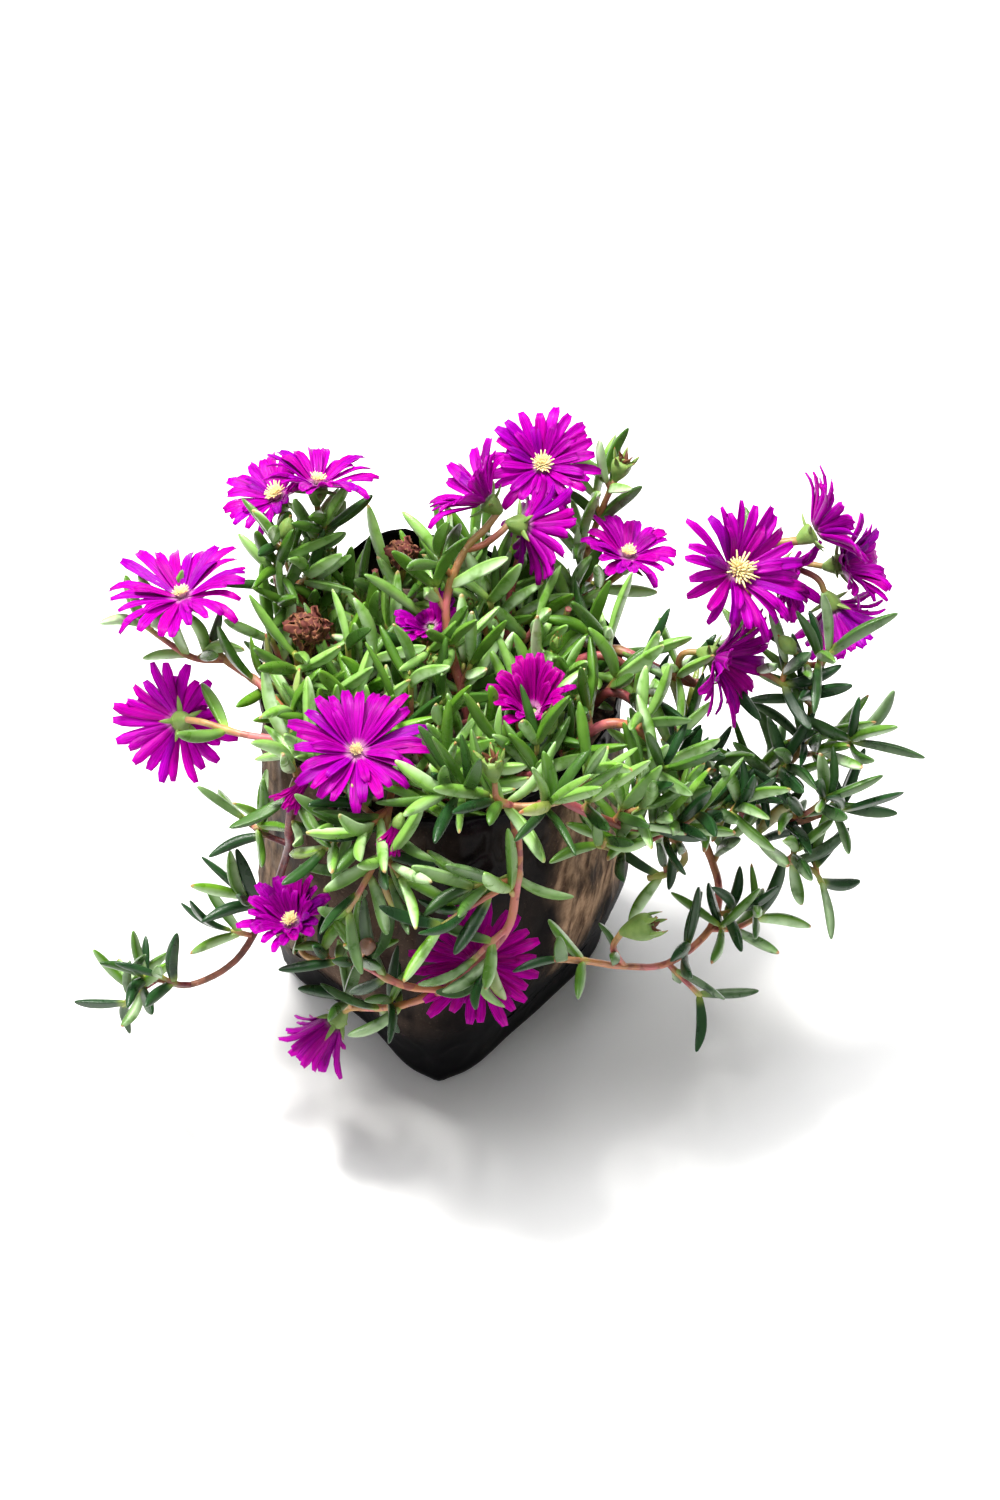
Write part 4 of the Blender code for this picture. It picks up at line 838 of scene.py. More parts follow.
def petal_points(bloom, turn, length, cup):
    """The foot, widest place and tip of one petal."""
    middle, side, over, facing = bloom_frame(bloom)
    out = spoke(side, over, turn)
    rise_cos, rise_sin = turned(cup + 4.0)
    tip_cos, tip_sin = turned(cup - 16.0)
    foot = middle + out * DISC_RADIUS
    wide = foot + (out * rise_cos + facing * rise_sin) * length * 0.66
    tip = wide + (out * tip_cos + facing * tip_sin) * length * 0.34
    return foot, wide, tip


def cup_balls(bloom):
    """Balls that keep the disc of a bloom and the five lobes under it free of others."""
    middle, side, over, facing = bloom_frame(bloom)
    balls = [(middle, DISC_RADIUS)]
    for lobe in range(5):
        balls.append((middle - facing * 1.2 + spoke(side, over, 72.0 * lobe) * 6.3, 1.4))
    return balls


def place_petals(room, bloom):
    """Lengths and slants of a bloom's petals, cut back where they would meet another."""
    length, cup, count = BLOOMS[bloom][2:]
    draw = random.Random(700 + int(bloom))
    petals = []
    for index in range(count):
        turn = 360.0 * (index + 0.5) / count + draw.uniform(-2.0, 2.0)
        tier = 8.0 if index % 2 else -3.0
        slant = cup + tier + draw.uniform(-4.0, 4.0)
        reach = length * draw.uniform(0.86, 1.06)
        chosen = None
        for size in (1.0, 0.85, 0.7, 0.55, 0.4):
            for lift in (0, 10, -10, 20, -20, 32):
                foot, wide, tip = petal_points(bloom, turn, reach * size, slant + lift)
                balls = [(foot.lerp(wide, 0.46), 1.6), (foot.lerp(wide, 0.74), 2.0), (wide, 2.3),
                         (wide.lerp(tip, 0.5), 1.8), (tip, 1.1)]
                if room.clear(balls, "petals_" + bloom, 1.0):
                    chosen = (turn, reach * size, slant + lift, balls)
                    break
            if chosen:
                break
        if not chosen:
            foot, wide, tip = petal_points(bloom, turn, reach * 0.3, slant)
            chosen = (turn, reach * 0.3, slant, [(wide, 1.5), (tip, 1.0)])
        room.add(chosen[3], "petals_" + bloom)
        petals.append(chosen[:3])
    return petals


def bush_routes(root, bush, seed, room, name):
    """Short leafy shoots that fan out from one root, each turned clear of its neighbours."""
    count, reach, top, first = bush
    draw = random.Random(seed)
    routes = []
    lead = (0.0, 0.0)
    for index in range(count):
        heading = first + index * GOLDEN_TURN + draw.uniform(-12, 12)
        out = reach * (0.45 if index == 0 else draw.uniform(0.75, 1.15))
        height = top + draw.uniform(-5, 5) - (0 if index == 0 else 4)
        part = index * 0.27
        for swing in (0, 18, -18, 36, -36, 54, -54, 75, -75, 100, -100, 130, -130, 180):
            cos, sin = turned(heading + swing)
            start = (root[0] + lead[0] * part, root[1] + lead[1] * part, 178 + 12 * part)
            bend = (0.4, 190) if index == 0 else (0.62, 187 + 9 * part)
            middle = (root[0] + cos * out * bend[0], root[1] + sin * out * bend[0], bend[1])
            end = (root[0] + cos * out, root[1] + sin * out, height)
            balls = [(spot, 1.4) for spot in smooth_route([start, middle, end], 6)[3:]]
            if room.clear(balls, name, 0.6):
                break
        if index == 0:
            lead = (cos * out * 0.4, sin * out * 0.4)
        routes.append({"at": [start, middle, end], "r": (1.4, 1.0),
                       "pairs": (0.45, 0.97, 2, draw.uniform(20, 26), draw.uniform(0, 90)),
                       "tip": "leaves"})
    return routes


def plan_plant():
    """Lays out every stem, bloom and leaf so that nothing crosses its neighbour."""
    room = Room()
    plan = {}
    for name, (tip, size) in DRIED_HEADS.items():
        room.add([(head_middle(tip, size), size + 0.6)], name)
    for bloom in BLOOMS:
        middle, side, over, facing = bloom_frame(bloom)
        room.add(cup_balls(bloom), "petals_" + bloom)
        room.add([(middle + facing * 3.6, 3.6)], "stamens_" + bloom)
    for order, (name, spec) in enumerate(STEMS.items()):
        root = spec["root"]
        routes = list(spec["routes"])
        if "bush" in spec:
            routes += bush_routes(root, spec["bush"], 40 + order, room, name)
        forks = [Vector(route["at"][0]) for route in routes[1:]] + [Vector((*root, SOIL_TOP + 1.0))]
        lines = []
        for place, route in enumerate(routes):
            points = list(route["at"])
            if place == 0:
                points = [(root[0], root[1], SOIL_TOP - ROOT_DEPTH),
                          (root[0], root[1], SOIL_TOP + 1.0)] + points
            lines.append(thinned(smooth_route(points, 2), forks))
            fine = smooth_route(points, 10)
            r0, r1 = route["r"]
            for index, spot in enumerate(fine):
                if spot.z > SOIL_TOP:
                    room.add([(spot, r0 + (r1 - r0) * index / len(fine))], name)
            if route["tip"] in BLOOMS:
                middle, side, over, facing = bloom_frame(route["tip"])
                room.add([(middle - facing * 2.6, 3.4), (middle - facing * 6.0, 2.6)], name)
            if route["tip"] in ("bud", "pod"):
                end, way = route_at(lines[-1], 1.0)
                room.add([(end + way * 5.0, 4.0), (end + way * 9.0, 3.0)], name)
        plan[name] = {"root": root, "routes": routes, "lines": lines, "leaves": []}
    petals = {bloom: place_petals(room, bloom) for bloom in BLOOMS}
    for name, stem in plan.items():
        draw = random.Random(len(name) * 31 + int(abs(stem["root"][0]) * 7))
        for route, line in zip(stem["routes"], stem["lines"]):
            first, last, pairs, length, turn = route["pairs"]
            base_z = SOIL_TOP + 6.0
            for pair in range(pairs):
                part = first if pairs == 1 else first + (last - first) * pair / (pairs - 1)
                base, way = route_at(line, part)
                base = base - way * (0.55 + 0.17 * pair)
                at_tip = route["tip"] == "leaves" and pair == pairs - 1
                for hand in (0, 180):
                    if base.z < base_z and math.hypot(base.x, base.y) < BAG_RIM_RADIUS:
                        continue
                    leaf = place_leaf(room, name, base, way, turn + hand + 90 * pair
                                      + draw.uniform(-10, 10), length * draw.uniform(0.85, 1.1),
                                      draw.uniform(0.12, 0.3), 50 if at_tip else 36)
                    if leaf:
                        leaf["tone"] = 0.25 + 0.5 * (pair + 1) / pairs
                        stem["leaves"].append(leaf)
    return plan, petals, room


plan, petal_plan, room = plan_plant()

# how old each stem's bark is, from 0, young and pink, to 1, old and dark red-brown
BARK = {"stem_left_upper": 0.35, "stem_left_lower": 0.25, "stem_left_back": 0.55, "stem_front_left": 0.45,
        "stem_front_dark": 0.95, "stem_front": 0.15, "stem_right_front": 0.60, "stem_right_low": 0.30,
        "stem_right": 0.70, "stem_right_upper": 0.55, "stem_right_outer": 0.62, "stem_back": 0.45,
        "stem_back_right": 0.40}
# the routes whose far ends stay coloured, not green
BARE = (("stem_front_dark", 0), ("stem_right_low", 0), ("stem_front", 1), ("stem_right_outer", 0))
ROD_SIDES = 8
GROUPS = {
    "left": ("stem_left_upper", "stem_left_lower", "stem_left_back"),
    "front": ("stem_front_left", "stem_front_dark", "stem_front"),
    "right_low": ("stem_right_front", "stem_right_low"),
    "right": ("stem_right", "stem_right_upper", "stem_right_outer"),
    "back": ("stem_back", "stem_back_right"),
    "mound": ("shoots_left", "shoots_left_back", "shoots_left_front", "shoots_middle", "shoots_front",
              "shoots_right", "shoots_right_back", "shoots_back"),
}


def straight_pattern(sides, steps):
    """A straight closed rod of one radius, with a ring of points at every whole height."""
    form = bmesh.new()
    bmesh.ops.create_circle(form, cap_ends=False, segments=sides, radius=1.0)
    bmesh.ops.spin(form, geom=form.edges[:], cent=(0, 0, 0), axis=(0, 0, 1), dvec=(0, 0, 1), angle=0.0,
                   steps=steps, use_merge=False, use_normal_flip=False, use_duplicate=False)
    bmesh.ops.holes_fill(form, edges=[edge for edge in form.edges if edge.is_boundary], sides=sides)
    bmesh.ops.recalc_face_normals(form, faces=form.faces[:])
    mesh = bpy.data.meshes.new("pattern")
    form.to_mesh(mesh)
    form.free()
    return mesh


def new_growth():
    """An empty form whose points carry the growth attribute."""
    form = bmesh.new()
    form.verts.layers.float_color.new("growth")
    return form


def grow(form, pattern, place):
    """Adds one copy of a pattern, each point of it moved to where it grows and given its readings."""
    first = len(form.verts)
    form.from_mesh(pattern)
    form.verts.ensure_lookup_table()
    mark = form.verts.layers.float_color["growth"]
    for point in form.verts[first:]:
        spot, reading = place(point.co)
        point.co = spot * MM
        point[mark] = reading


def way_at(line, index):
    """The way a line runs at one of its points."""
    return (line[min(index + 1, len(line) - 1)] - line[max(index - 1, 0)]).normalized()


def carried_frames(line):
    """The spot, side and over directions at each point of a line, carried along it unturned."""
    frames = []
    side = across((line[1] - line[0]).normalized())[0]
    for index, spot in enumerate(line):
        way = way_at(line, index)
        side = (side - way * side.dot(way)).normalized()
        frames.append((spot, side, side.cross(way).normalized()))
    return frames


def grow_rod(form, line, r0, r1, swellings, bark, green_end):
    """One stem along its line, swollen at its leaf pairs, its bark a little uneven."""
    steps = len(line) - 1
    frames = carried_frames(line)
    lengths = lengths_along(line)

    def place(co):
        index = round(co.z)
        spot, side, over = frames[index]
        share = lengths[index] / lengths[-1]
        nearest = min([abs(share - part) * lengths[-1] for part in swellings] + [99.0])
        swell = math.exp(-(nearest / 1.7) ** 2)
        radius = r0 + (r1 - r0) * share
        radius *= 1.12 + 0.26 * swell + 0.10 * noise.noise(spot / 3.0 + Vector((co.x, co.y, 0.0)))
        return spot + (side * co.x + over * co.y) * radius, (share, bark, swell, green_end)

    if steps not in rod_patterns:
        rod_patterns[steps] = straight_pattern(ROD_SIDES, steps)
    grow(form, rod_patterns[steps], place)


rod_patterns = {}

bark_skin = Finish("runner_bark", {"IOR": 1.45, "Subsurface Weight": 0.08, "Subsurface Scale": 0.001})
share, age, swell, green_end = bark_skin.growth()
fibre = bark_skin.grain(420.0, 4.0)
patch = bark_skin.grain(60.0, 2.0)
young = bark_skin.mixed(patch.between(0.35, 0.65), screen(190, 98, 108), screen(176, 112, 70))
old = bark_skin.mixed(fibre.between(0.3, 0.7), screen(84, 30, 42), screen(122, 52, 50))
bark = bark_skin.mixed((age + patch * 0.5 - 0.25).between(0.25, 0.85), young, old)
bark = bark_skin.mixed(fibre.between(0.62, 0.76) * 0.4, bark, screen(216, 172, 158))
# painted shadow: dark maroon bands across the young bark, where the leaves' shadows fall
painted_leaf_shadow_bands = bark_skin.grain(190.0, 1.0).between(0.56, 0.62) * (1.0 - age)
bark = bark_skin.mixed(painted_leaf_shadow_bands * 0.75, bark, screen(118, 42, 58))
fresh = (share.between(0.55, 1.0) * green_end + swell * 0.55).held()
bark = bark_skin.mixed(fresh * 0.8, bark, screen(146, 164, 70))
bark_skin.done(colour=bark, rough=fibre * 0.25 + 0.32, normal=bark_skin.raised(fibre, 0.0004, 0.7))

fine_lines = {}
for group, stems in GROUPS.items():
    form = new_growth()
    for name in stems:
        stem = plan[name]
        for number, route in enumerate(stem["routes"]):
            points = list(route["at"])
            if number == 0:
                root = stem["root"]
                points = [(*root, SOIL_TOP - ROOT_DEPTH), (*root, SOIL_TOP + 1.0)] + points
            line = smooth_route(points, 6)
            fine_lines[name, number] = line
            first, last, count = route["pairs"][:3]
            parts = [first + (last - first) * pair / max(1, count - 1) for pair in range(count)]
            green_end = 0.15 if (name, number) in BARE else 0.8 if route["tip"] == "leaves" else 0.5
            grow_rod(form, line, *route["r"], parts, BARK.get(name, 0.5), green_end)
    rods = piece_of(form, "stems_" + group)
    rods.data.materials.append(bark_skin.material)
    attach(rods, "root")
    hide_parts(*stems)

# The leaves are narrow and fleshy, three-edged, flat above and keeled below, in pairs that clasp the stem.
# They are smooth and juicy green with a pale bloom on the upper face, partly a painted highlight; tip pairs
# are yellow-green, old ones redden. Where they hang, they are painted darker or lighter, as painted shade
# and painted sunlight. Short leafy shoots fill the mound over the soil and the joints of the runners.
LEAF_WIDTH = 6.7
LEAF_DEPTH = 6.0
LEAF_STRETCH = 1.10
# how far a leaf may bow off its straight line
LEAF_CURL = 11.0
# the fine leaves may crowd this much closer than touching
FILL_GAP = -0.35
SHOOT_RADIUS = 1.1
MOUND_STEP = 11.0
MOUND_REACH = 66.0
LEAF_SECTION = ((1.0, 0.20), (0.50, -0.44), (-0.50, -0.44), (-1.0, 0.20), (-0.52, 0.33), (0.52, 0.33))
LEAF_GIRTH = (0.58, 0.77, 0.90, 0.98, 1.0, 0.94, 0.74, 0.24)
LEAF_STEPS = len(LEAF_PARTS) - 1
# short shoots on the runners: first and last place along the route, how many, their and their leaves' length
SHOOTS = {
    ("stem_left_upper", 0): (0.12, 0.40, 3, 9, 20), ("stem_left_upper", 1): (0.3, 0.9, 2, 6, 18),
    ("stem_left_lower", 0): (0.15, 0.40, 2, 9, 22), ("stem_left_back", 0): (0.2, 0.8, 4, 9, 22),
    ("stem_left_back", 1): (0.2, 0.7, 3, 9, 20), ("stem_left_back", 2): (0.3, 0.9, 3, 8, 20),
    ("stem_front_left", 0): (0.3, 0.7, 1, 10, 24), ("stem_front_left", 1): (0.6, 0.95, 1, 9, 24),
    ("stem_front_left", 2): (0.2, 0.9, 3, 9, 22), ("stem_front_dark", 0): (0.12, 0.22, 2, 9, 24),
    ("stem_front_dark", 1): (0.7, 0.9, 1, 8, 20), ("stem_front_dark", 3): (0.1, 0.8, 3, 6, 18),
    ("stem_front", 0): (0.25, 0.95, 6, 10, 24), ("stem_front", 3): (0.45, 0.9, 3, 7, 20),
    ("stem_front", 5): (0.5, 0.85, 2, 7, 20), ("stem_right_front", 0): (0.15, 0.95, 8, 10, 23),
    ("stem_right_front", 1): (0.2, 0.9, 3, 8, 22), ("stem_right_front", 2): (0.2, 0.9, 3, 8, 22),
    ("stem_right_front", 3): (0.2, 0.9, 3, 8, 22), ("stem_right_low", 0): (0.12, 0.70, 8, 10, 23),
    ("stem_right_low", 1): (0.3, 0.9, 2, 7, 22), ("stem_right_low", 4): (0.2, 0.9, 3, 8, 22),
    ("stem_right", 0): (0.15, 0.95, 9, 10, 25), ("stem_right", 2): (0.2, 0.9, 2, 8, 22),
    ("stem_right", 3): (0.2, 0.9, 2, 8, 22), ("stem_right_upper", 0): (0.12, 0.60, 5, 10, 25),
    ("stem_right_upper", 6): (0.2, 0.9, 2, 8, 22), ("stem_right_outer", 0): (0.15, 0.95, 7, 10, 24),
    ("stem_right_outer", 1): (0.15, 0.9, 4, 8, 22), ("stem_right_outer", 2): (0.3, 0.9, 2, 7, 20),
    ("stem_back", 0): (0.15, 0.7, 5, 11, 24), ("stem_back_right", 0): (0.15, 0.7, 4, 10, 22),
    ("stem_back_right", 1): (0.15, 0.9, 4, 8, 20),
}

# shoots given one by one: the stem, where on it, the way it points, its own and its leaves' length, leaf pairs
SPRAYS = (
    ("stem_front", (31, -97, 180), (-0.85, -0.25, 0.10), 17, 27, 3),
    ("stem_front", (31, -97, 179), (-0.95, -0.20, -0.22), 34, 27, 3),
    ("stem_front", (23, -107, 150), (-0.35, -0.40, -0.80), 14, 23, 3),
    ("stem_front", (31, -99, 172), (-0.30, -0.20, 0.90), 6, 28, 1),
    ("stem_front", (14, -74, 206), (-0.60, -0.35, 0.35), 12, 27, 3),
    ("stem_front", (40, -84, 211), (0.20, -0.55, 0.55), 10, 25, 2),
    ("stem_front_left", (-18, -76, 197), (-0.45, -0.70, -0.10), 16, 26, 3),
    ("stem_front_left", (-20, -90, 188), (0.40, -0.60, -0.20), 12, 25, 2),
    ("stem_front_dark", (-72, -61, 112), (-0.60, -0.10, 0.80), 13, 25, 3),
    ("stem_front_dark", (-78, -67, 102), (-0.90, 0.10, 0.25), 9, 23, 2),
    ("stem_front_dark", (-57, -71, 190), (0.25, -0.50, -0.80), 5, 27, 1),
    ("stem_front", (38, -55, 182), (0.05, 0.05, 1.0), 28, 24, 3),
    ("stem_front", (27, -51, 182), (-0.10, 0.05, 1.0), 24, 24, 3),
    ("stem_front", (50, -46, 182), (0.05, 0.10, 1.0), 26, 25, 3),
)
SPRAY_NUDGES = ((0.0, 0.0, 0.35), (0.0, -0.35, 0.0), (0.0, 0.0, -0.35))
# leaves may cross these blooms; the air over the face of every other one stays free
OVERGROWN = ("08", "18", "19")
# bare places in the mound: the middle and reach of each
CLEARINGS = ((-24, 50, 27), (60, 34, 13), (-66, -18, 9))
# in front of the dusty film at the left no short shoots grow: where, and how far round
BARE_FILM = (((-56, -84, 168), 15.0), ((-60, -86, 146), 14.0))
# this leaf stops short of the bloom behind it: where its pair is, and how much of it is left
SHORT_LEAF = (-34, -100, 165)
SHORT_LEAF_SHARE = 0.5

leaf_pattern = straight_pattern(len(LEAF_SECTION), LEAF_STEPS)


def section_corner(co):
    """The corner of a leaf's section that a point of the straight pattern stands for."""
    return LEAF_SECTION[round(math.degrees(math.atan2(co.y, co.x)) / 60.0) % 6]


def plumped(piece):
    """Rounds a piece's faceted bodies."""
    plump = piece.modifiers.new("plump", "SUBSURF")
    plump.levels = plump.render_levels = 1


def grow_leaf(form, line, out, girth, tone, draw):
    """One leaf along its middle line, its flat face turned to the light."""
    frames = []
    for index, spot in enumerate(line):
        way = way_at(line, index)
        side = way.cross(out)
        side = (side if side.length > 0.1 else across(way)[0]).normalized()
        frames.append((spot, side, side.cross(way).normalized()))
    shade = draw.random()
    girth *= draw.uniform(0.9, 1.2)
    curl = draw.uniform(-0.2, 1.1) * LEAF_CURL
    sway = draw.uniform(-0.7, 0.7) * LEAF_CURL

    def place(co):
        index = round(co.z)
        share = index / LEAF_STEPS
        spot, side, top = frames[index]
        spot = spot + (top * curl + side * sway) * share * (share - 0.5)
        x, y = section_corner(co)
        wide = 0.5 * LEAF_WIDTH * girth * LEAF_GIRTH[index]
        deep = LEAF_DEPTH * girth * LEAF_GIRTH[index]
        upper = 1.0 if y > 0.0 else 0.0
        return spot + side * x * wide + top * y * deep, (share, tone, upper, shade)

    grow(form, leaf_pattern, place)


def fanned(heading, lean):
    """The ways a shoot may take: first its own heading, then turned aside from it."""
    ways = []
    for swing in (0, 35, -35, 70, -70, 120):
        cos, sin = turned(heading + swing)
        ways.append(Vector((cos * lean, sin * lean, 1.0)).normalized())
    return ways


def grow_shoot(owner, start, ways, length, pairs, leaf_length, turn, spreads, draw):
    """A short shoot with its leaf pairs along the first free way; its line and its leaves."""
    for way in ways:
        bend = start + way * length * 0.5 + Vector((way.x, way.y, 0.0)) * length * 0.15
        line = smooth_route([start, bend, start + way * length], 3)
        if room.clear([(spot, SHOOT_RADIUS) for spot in line[2:]], owner, 0.1, start):
            break
    else:
        return None
    room.add([(spot, SHOOT_RADIUS) for spot in line], owner)
    leaves = []
    for pair in range(pairs):
        part = (pair + 1) / pairs
        base, way = route_at(line, part * 0.97)
        aim = turn + 90.0 * pair + draw.uniform(-15, 15)
        for hand in (0, 180):
            spread = spreads[1] if pair == pairs - 1 else spreads[0]
            leaf = place_leaf(room, owner, base, way, aim + hand, leaf_length * draw.uniform(0.8, 1.12),
                              draw.uniform(0.12, 0.42), spread, FILL_GAP)
            if leaf:
                leaf["tone"] = 0.15 + 0.7 * part
                leaves.append(leaf)
    return line, leaves


draw = random.Random(23)
for bloom in BLOOMS:
    if bloom not in OVERGROWN:
        middle, side, over, facing = bloom_frame(bloom)
        room.add([(middle + facing * 9.0, 8.0), (middle + facing * 20.0, 8.0)], "face_" + bloom)
        for turn in range(0, 360, 60):
            room.add([(middle + spoke(side, over, turn) * 14.0 + facing * 8.0, 5.5)], "face_" + bloom)
room.add([(Vector(spot), reach) for spot, reach in BARE_FILM], "bare_film")
shoots = {group: [] for group in GROUPS}
for name, start, way, length, leaf_length, pairs in SPRAYS:
    group = [key for key, stems in GROUPS.items() if name in stems][0]
    way = Vector(way).normalized()
    ways = [way] + [(way + Vector(nudge)).normalized() for nudge in SPRAY_NUDGES]
    turn = draw.uniform(0, 90)
    made = grow_shoot(name, Vector(start), ways, length, pairs, leaf_length, turn, (50, 62), draw)
    if made:
        shoots[group].append(made)
for group, stems in GROUPS.items():
    for (name, number), (first, last, count, length, leaf_length) in SHOOTS.items():
        if name not in stems:
            continue
        for index in range(count):
            part = first + (last - first) * index / max(1, count - 1)
            base, way = route_at(fine_lines[name, number], part)
            if base.z < SOIL_TOP + 4.0 and math.hypot(base.x, base.y) < BAG_RIM_RADIUS:
                continue
            heading = draw.uniform(0, 360)
            ways = fanned(heading, draw.uniform(0.3, 1.1))
            made = grow_shoot(name, base, ways, length * draw.uniform(0.7, 1.2), 2, leaf_length * 0.97,
                              heading, (36, 54), draw)
            if made:
                shoots[group].append(made)
rows = int(MOUND_REACH / MOUND_STEP) + 1
spots = [(MOUND_STEP * (a + 0.5 * (b % 2)), MOUND_STEP * 0.87 * b)
         for a in range(-rows, rows + 1) for b in range(-rows, rows + 1)]
for number, (x, y) in enumerate(spots):
    x, y = x + draw.uniform(-2.5, 2.5), y + draw.uniform(-2.5, 2.5)
    if math.hypot(x, y) > MOUND_REACH or any(math.hypot(x - a, y - b) < reach for a, b, reach in CLEARINGS):
        continue
    start = Vector((x, y, SOIL_TOP - 1.0))
    lean = draw.choice((0.15, 0.5, 0.9, 1.5)) + 0.5 * (math.hypot(x, y) / MOUND_REACH) ** 2
    heading = math.degrees(math.atan2(y, x)) + draw.uniform(-80, 80)
    made = grow_shoot("mound_%d" % number, start, fanned(heading, lean), draw.uniform(12, 32),
                      draw.choice((2, 3)), draw.uniform(19, 27), heading, (40, 62), draw)
    if made:
        shoots["mound"].append(made)
        for leaf in made[1]:
            leaf["tone"] += 0.35

leaf_skin = Finish("leaf_skin", {"IOR": 1.42, "Subsurface Weight": 0.12, "Subsurface Scale": 0.002,
                                 "Subsurface Radius": (0.35, 1.0, 0.25)})
share, tone, upper, shade = leaf_skin.growth()
east, north, height = leaf_skin.axes()
# the leaves are painted by where they hang: low down and far out at the right they are painted darker and
# cleaner, as painted shade; on top of the mound yellower and paler, as painted sunlight; those that hang
# before the bag a little darker than the rest, as painted shade
shaded = (east.between(0.07, 0.12) * 0.75 + height.between(0.185, 0.13) * 0.4).held()
sunny = (height.between(0.165, 0.205) * (1.0 - shaded)).held()
painted_shade_in_front = north.between(-0.055, -0.085).held()
mottle = leaf_skin.grain(150.0, 2.0)
dots = leaf_skin.node("ShaderNodeTexVoronoi", {}, {"Scale": 2600.0, "Vector": leaf_skin.place()}, "Distance")
deep_green = leaf_skin.mixed(mottle, screen(14, 42, 22), screen(38, 76, 34))
young_green = leaf_skin.mixed(mottle, screen(80, 136, 24), screen(140, 192, 48))
# painted light: the shade and sunlight masks move the mix between deep and young green
young = tone * 0.55 + shade * 0.9 - 0.43 + sunny * 0.16 - shaded * 0.34 - painted_shade_in_front * 0.1
skin = leaf_skin.mixed(young.held(), deep_green, young_green)
# pale bloom on upper faces: partly real wax, partly a painted highlight, stronger in painted sunlight
bloom_and_painted_highlight = (upper + sunny * 0.22) * mottle.between(0.15, 0.6) * shade.between(0.2, 0.95)
bloom_and_painted_highlight = (bloom_and_painted_highlight * (1.0 - shaded * 0.25 - painted_shade_in_front * 0.42)).held()
skin = leaf_skin.mixed(bloom_and_painted_highlight, skin, screen(210, 236, 192))
foot = 1.0 - share.between(0.0, 0.20)
skin = leaf_skin.mixed(foot * 0.6, skin, screen(154, 176, 76))
blush = share.between(0.95, 1.0) * shade.between(0.75, 0.9) + shade.between(0.975, 0.99) * mottle
skin = leaf_skin.mixed((blush * 0.6).held(), skin, screen(178, 92, 70))
leaf_skin.done(colour=skin, rough=mottle * 0.14 + 0.22, normal=leaf_skin.raised(dots, 0.00012, 0.6))

for group, stems in GROUPS.items():
    form = new_growth()
    twigs = new_growth()
    for name in stems:
        on_stem = [spot for number in range(len(plan[name]["routes"])) for spot in fine_lines[name, number]]
        for leaf in plan[name]["leaves"]:
            base = leaf["line"][0]
            near = min(on_stem, key=lambda spot: (spot - base).length)
            slip = near - base if (near - base).length < 2.5 else Vector()
            stretch = LEAF_STRETCH
            if (base - Vector(SHORT_LEAF)).length < 3.0 and leaf["line"][-1].x < base.x:
                stretch = SHORT_LEAF_SHARE
            line = [base + (spot - base) * stretch + slip * (1.0 - index / LEAF_STEPS)
                    for index, spot in enumerate(leaf["line"])]
            grow_leaf(form, line, leaf["out"], 0.72 + 0.28 * leaf["size"], leaf["tone"], draw)
    for line, leaves in shoots[group]:
        grow_rod(twigs, line, SHOOT_RADIUS, 0.8, (0.5,), 0.1, 1.0)
        for leaf in leaves:
            grow_leaf(form, leaf["line"], leaf["out"], 0.72 + 0.28 * leaf["size"], leaf["tone"], draw)
    leaves = piece_of(form, "leaves_" + group)
    leaves.data.materials.append(leaf_skin.material)
    plumped(leaves)
    tips = piece_of(twigs, "shoots_of_" + group)
    tips.data.materials.append(bark_skin.material)
    for piece in (leaves, tips):
        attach(piece, "root")

# Under each bloom is its calyx: a fleshy green cup that widens from the stalk and splits into five pointed
# lobes with thin red-brown edges. Buds are the same cup with its lobes shut, and seed pods are old cups
# that have swollen, dried pale and opened flat in five.
LOBE_LENGTH = 7.6
LOBE_WIDTH = 4.4
LOBE_DEPTH = 1.7
LOBE_GIRTH = (0.90, 1.0, 0.98, 0.90, 0.78, 0.60, 0.38, 0.12)
# rings: how far each lies below its bloom, or beyond its stalk's end in buds and pods, and its radius
CUP_RINGS = ((9.3, 1.45), (7.8, 2.1), (5.4, 3.5), (3.0, 4.3), (1.3, 4.5), (0.5, 3.9))
BUD_RINGS = ((-1.0, 0.8), (1.2, 2.2), (4.0, 3.4), (7.0, 3.5), (9.6, 2.2), (11.6, 0.5))
POD_RINGS = ((-1.0, 0.8), (1.5, 2.2), (4.5, 3.9), (7.2, 4.5), (9.6, 4.1), (10.2, 2.8))
MAROON_BUDS = (("stem_front", 4),)
# this bud has opened its lobes round a brown wad
OPENED_BUDS = (("stem_front", 2),)
# the big pod of the low right stem nods outwards: its way, and its size
NODDING_POD = ("stem_right_low", 3)
NODDING_POD_WAY = (0.92, -0.05, 0.42)
NODDING_POD_SIZE = 1.35
cup_pattern = straight_pattern(15, 5)


def grow_cup(form, middle, side, over, facing, rings, tone):
    """A ribbed cup round the line that a bloom faces along; each ring is (below the middle, radius)."""
    def place(co):
        index = round(co.z)
        below, radius = rings[index]
        turn = math.atan2(co.y, co.x)
        ribbed = radius * (1.0 + 0.07 * math.cos(5.0 * turn))
        cos, sin = math.cos(turn), math.sin(turn)
        return middle - facing * below + (side * cos + over * sin) * ribbed, (index / 5.0, tone, 0.0, 0.5)

    grow(form, cup_pattern, place)


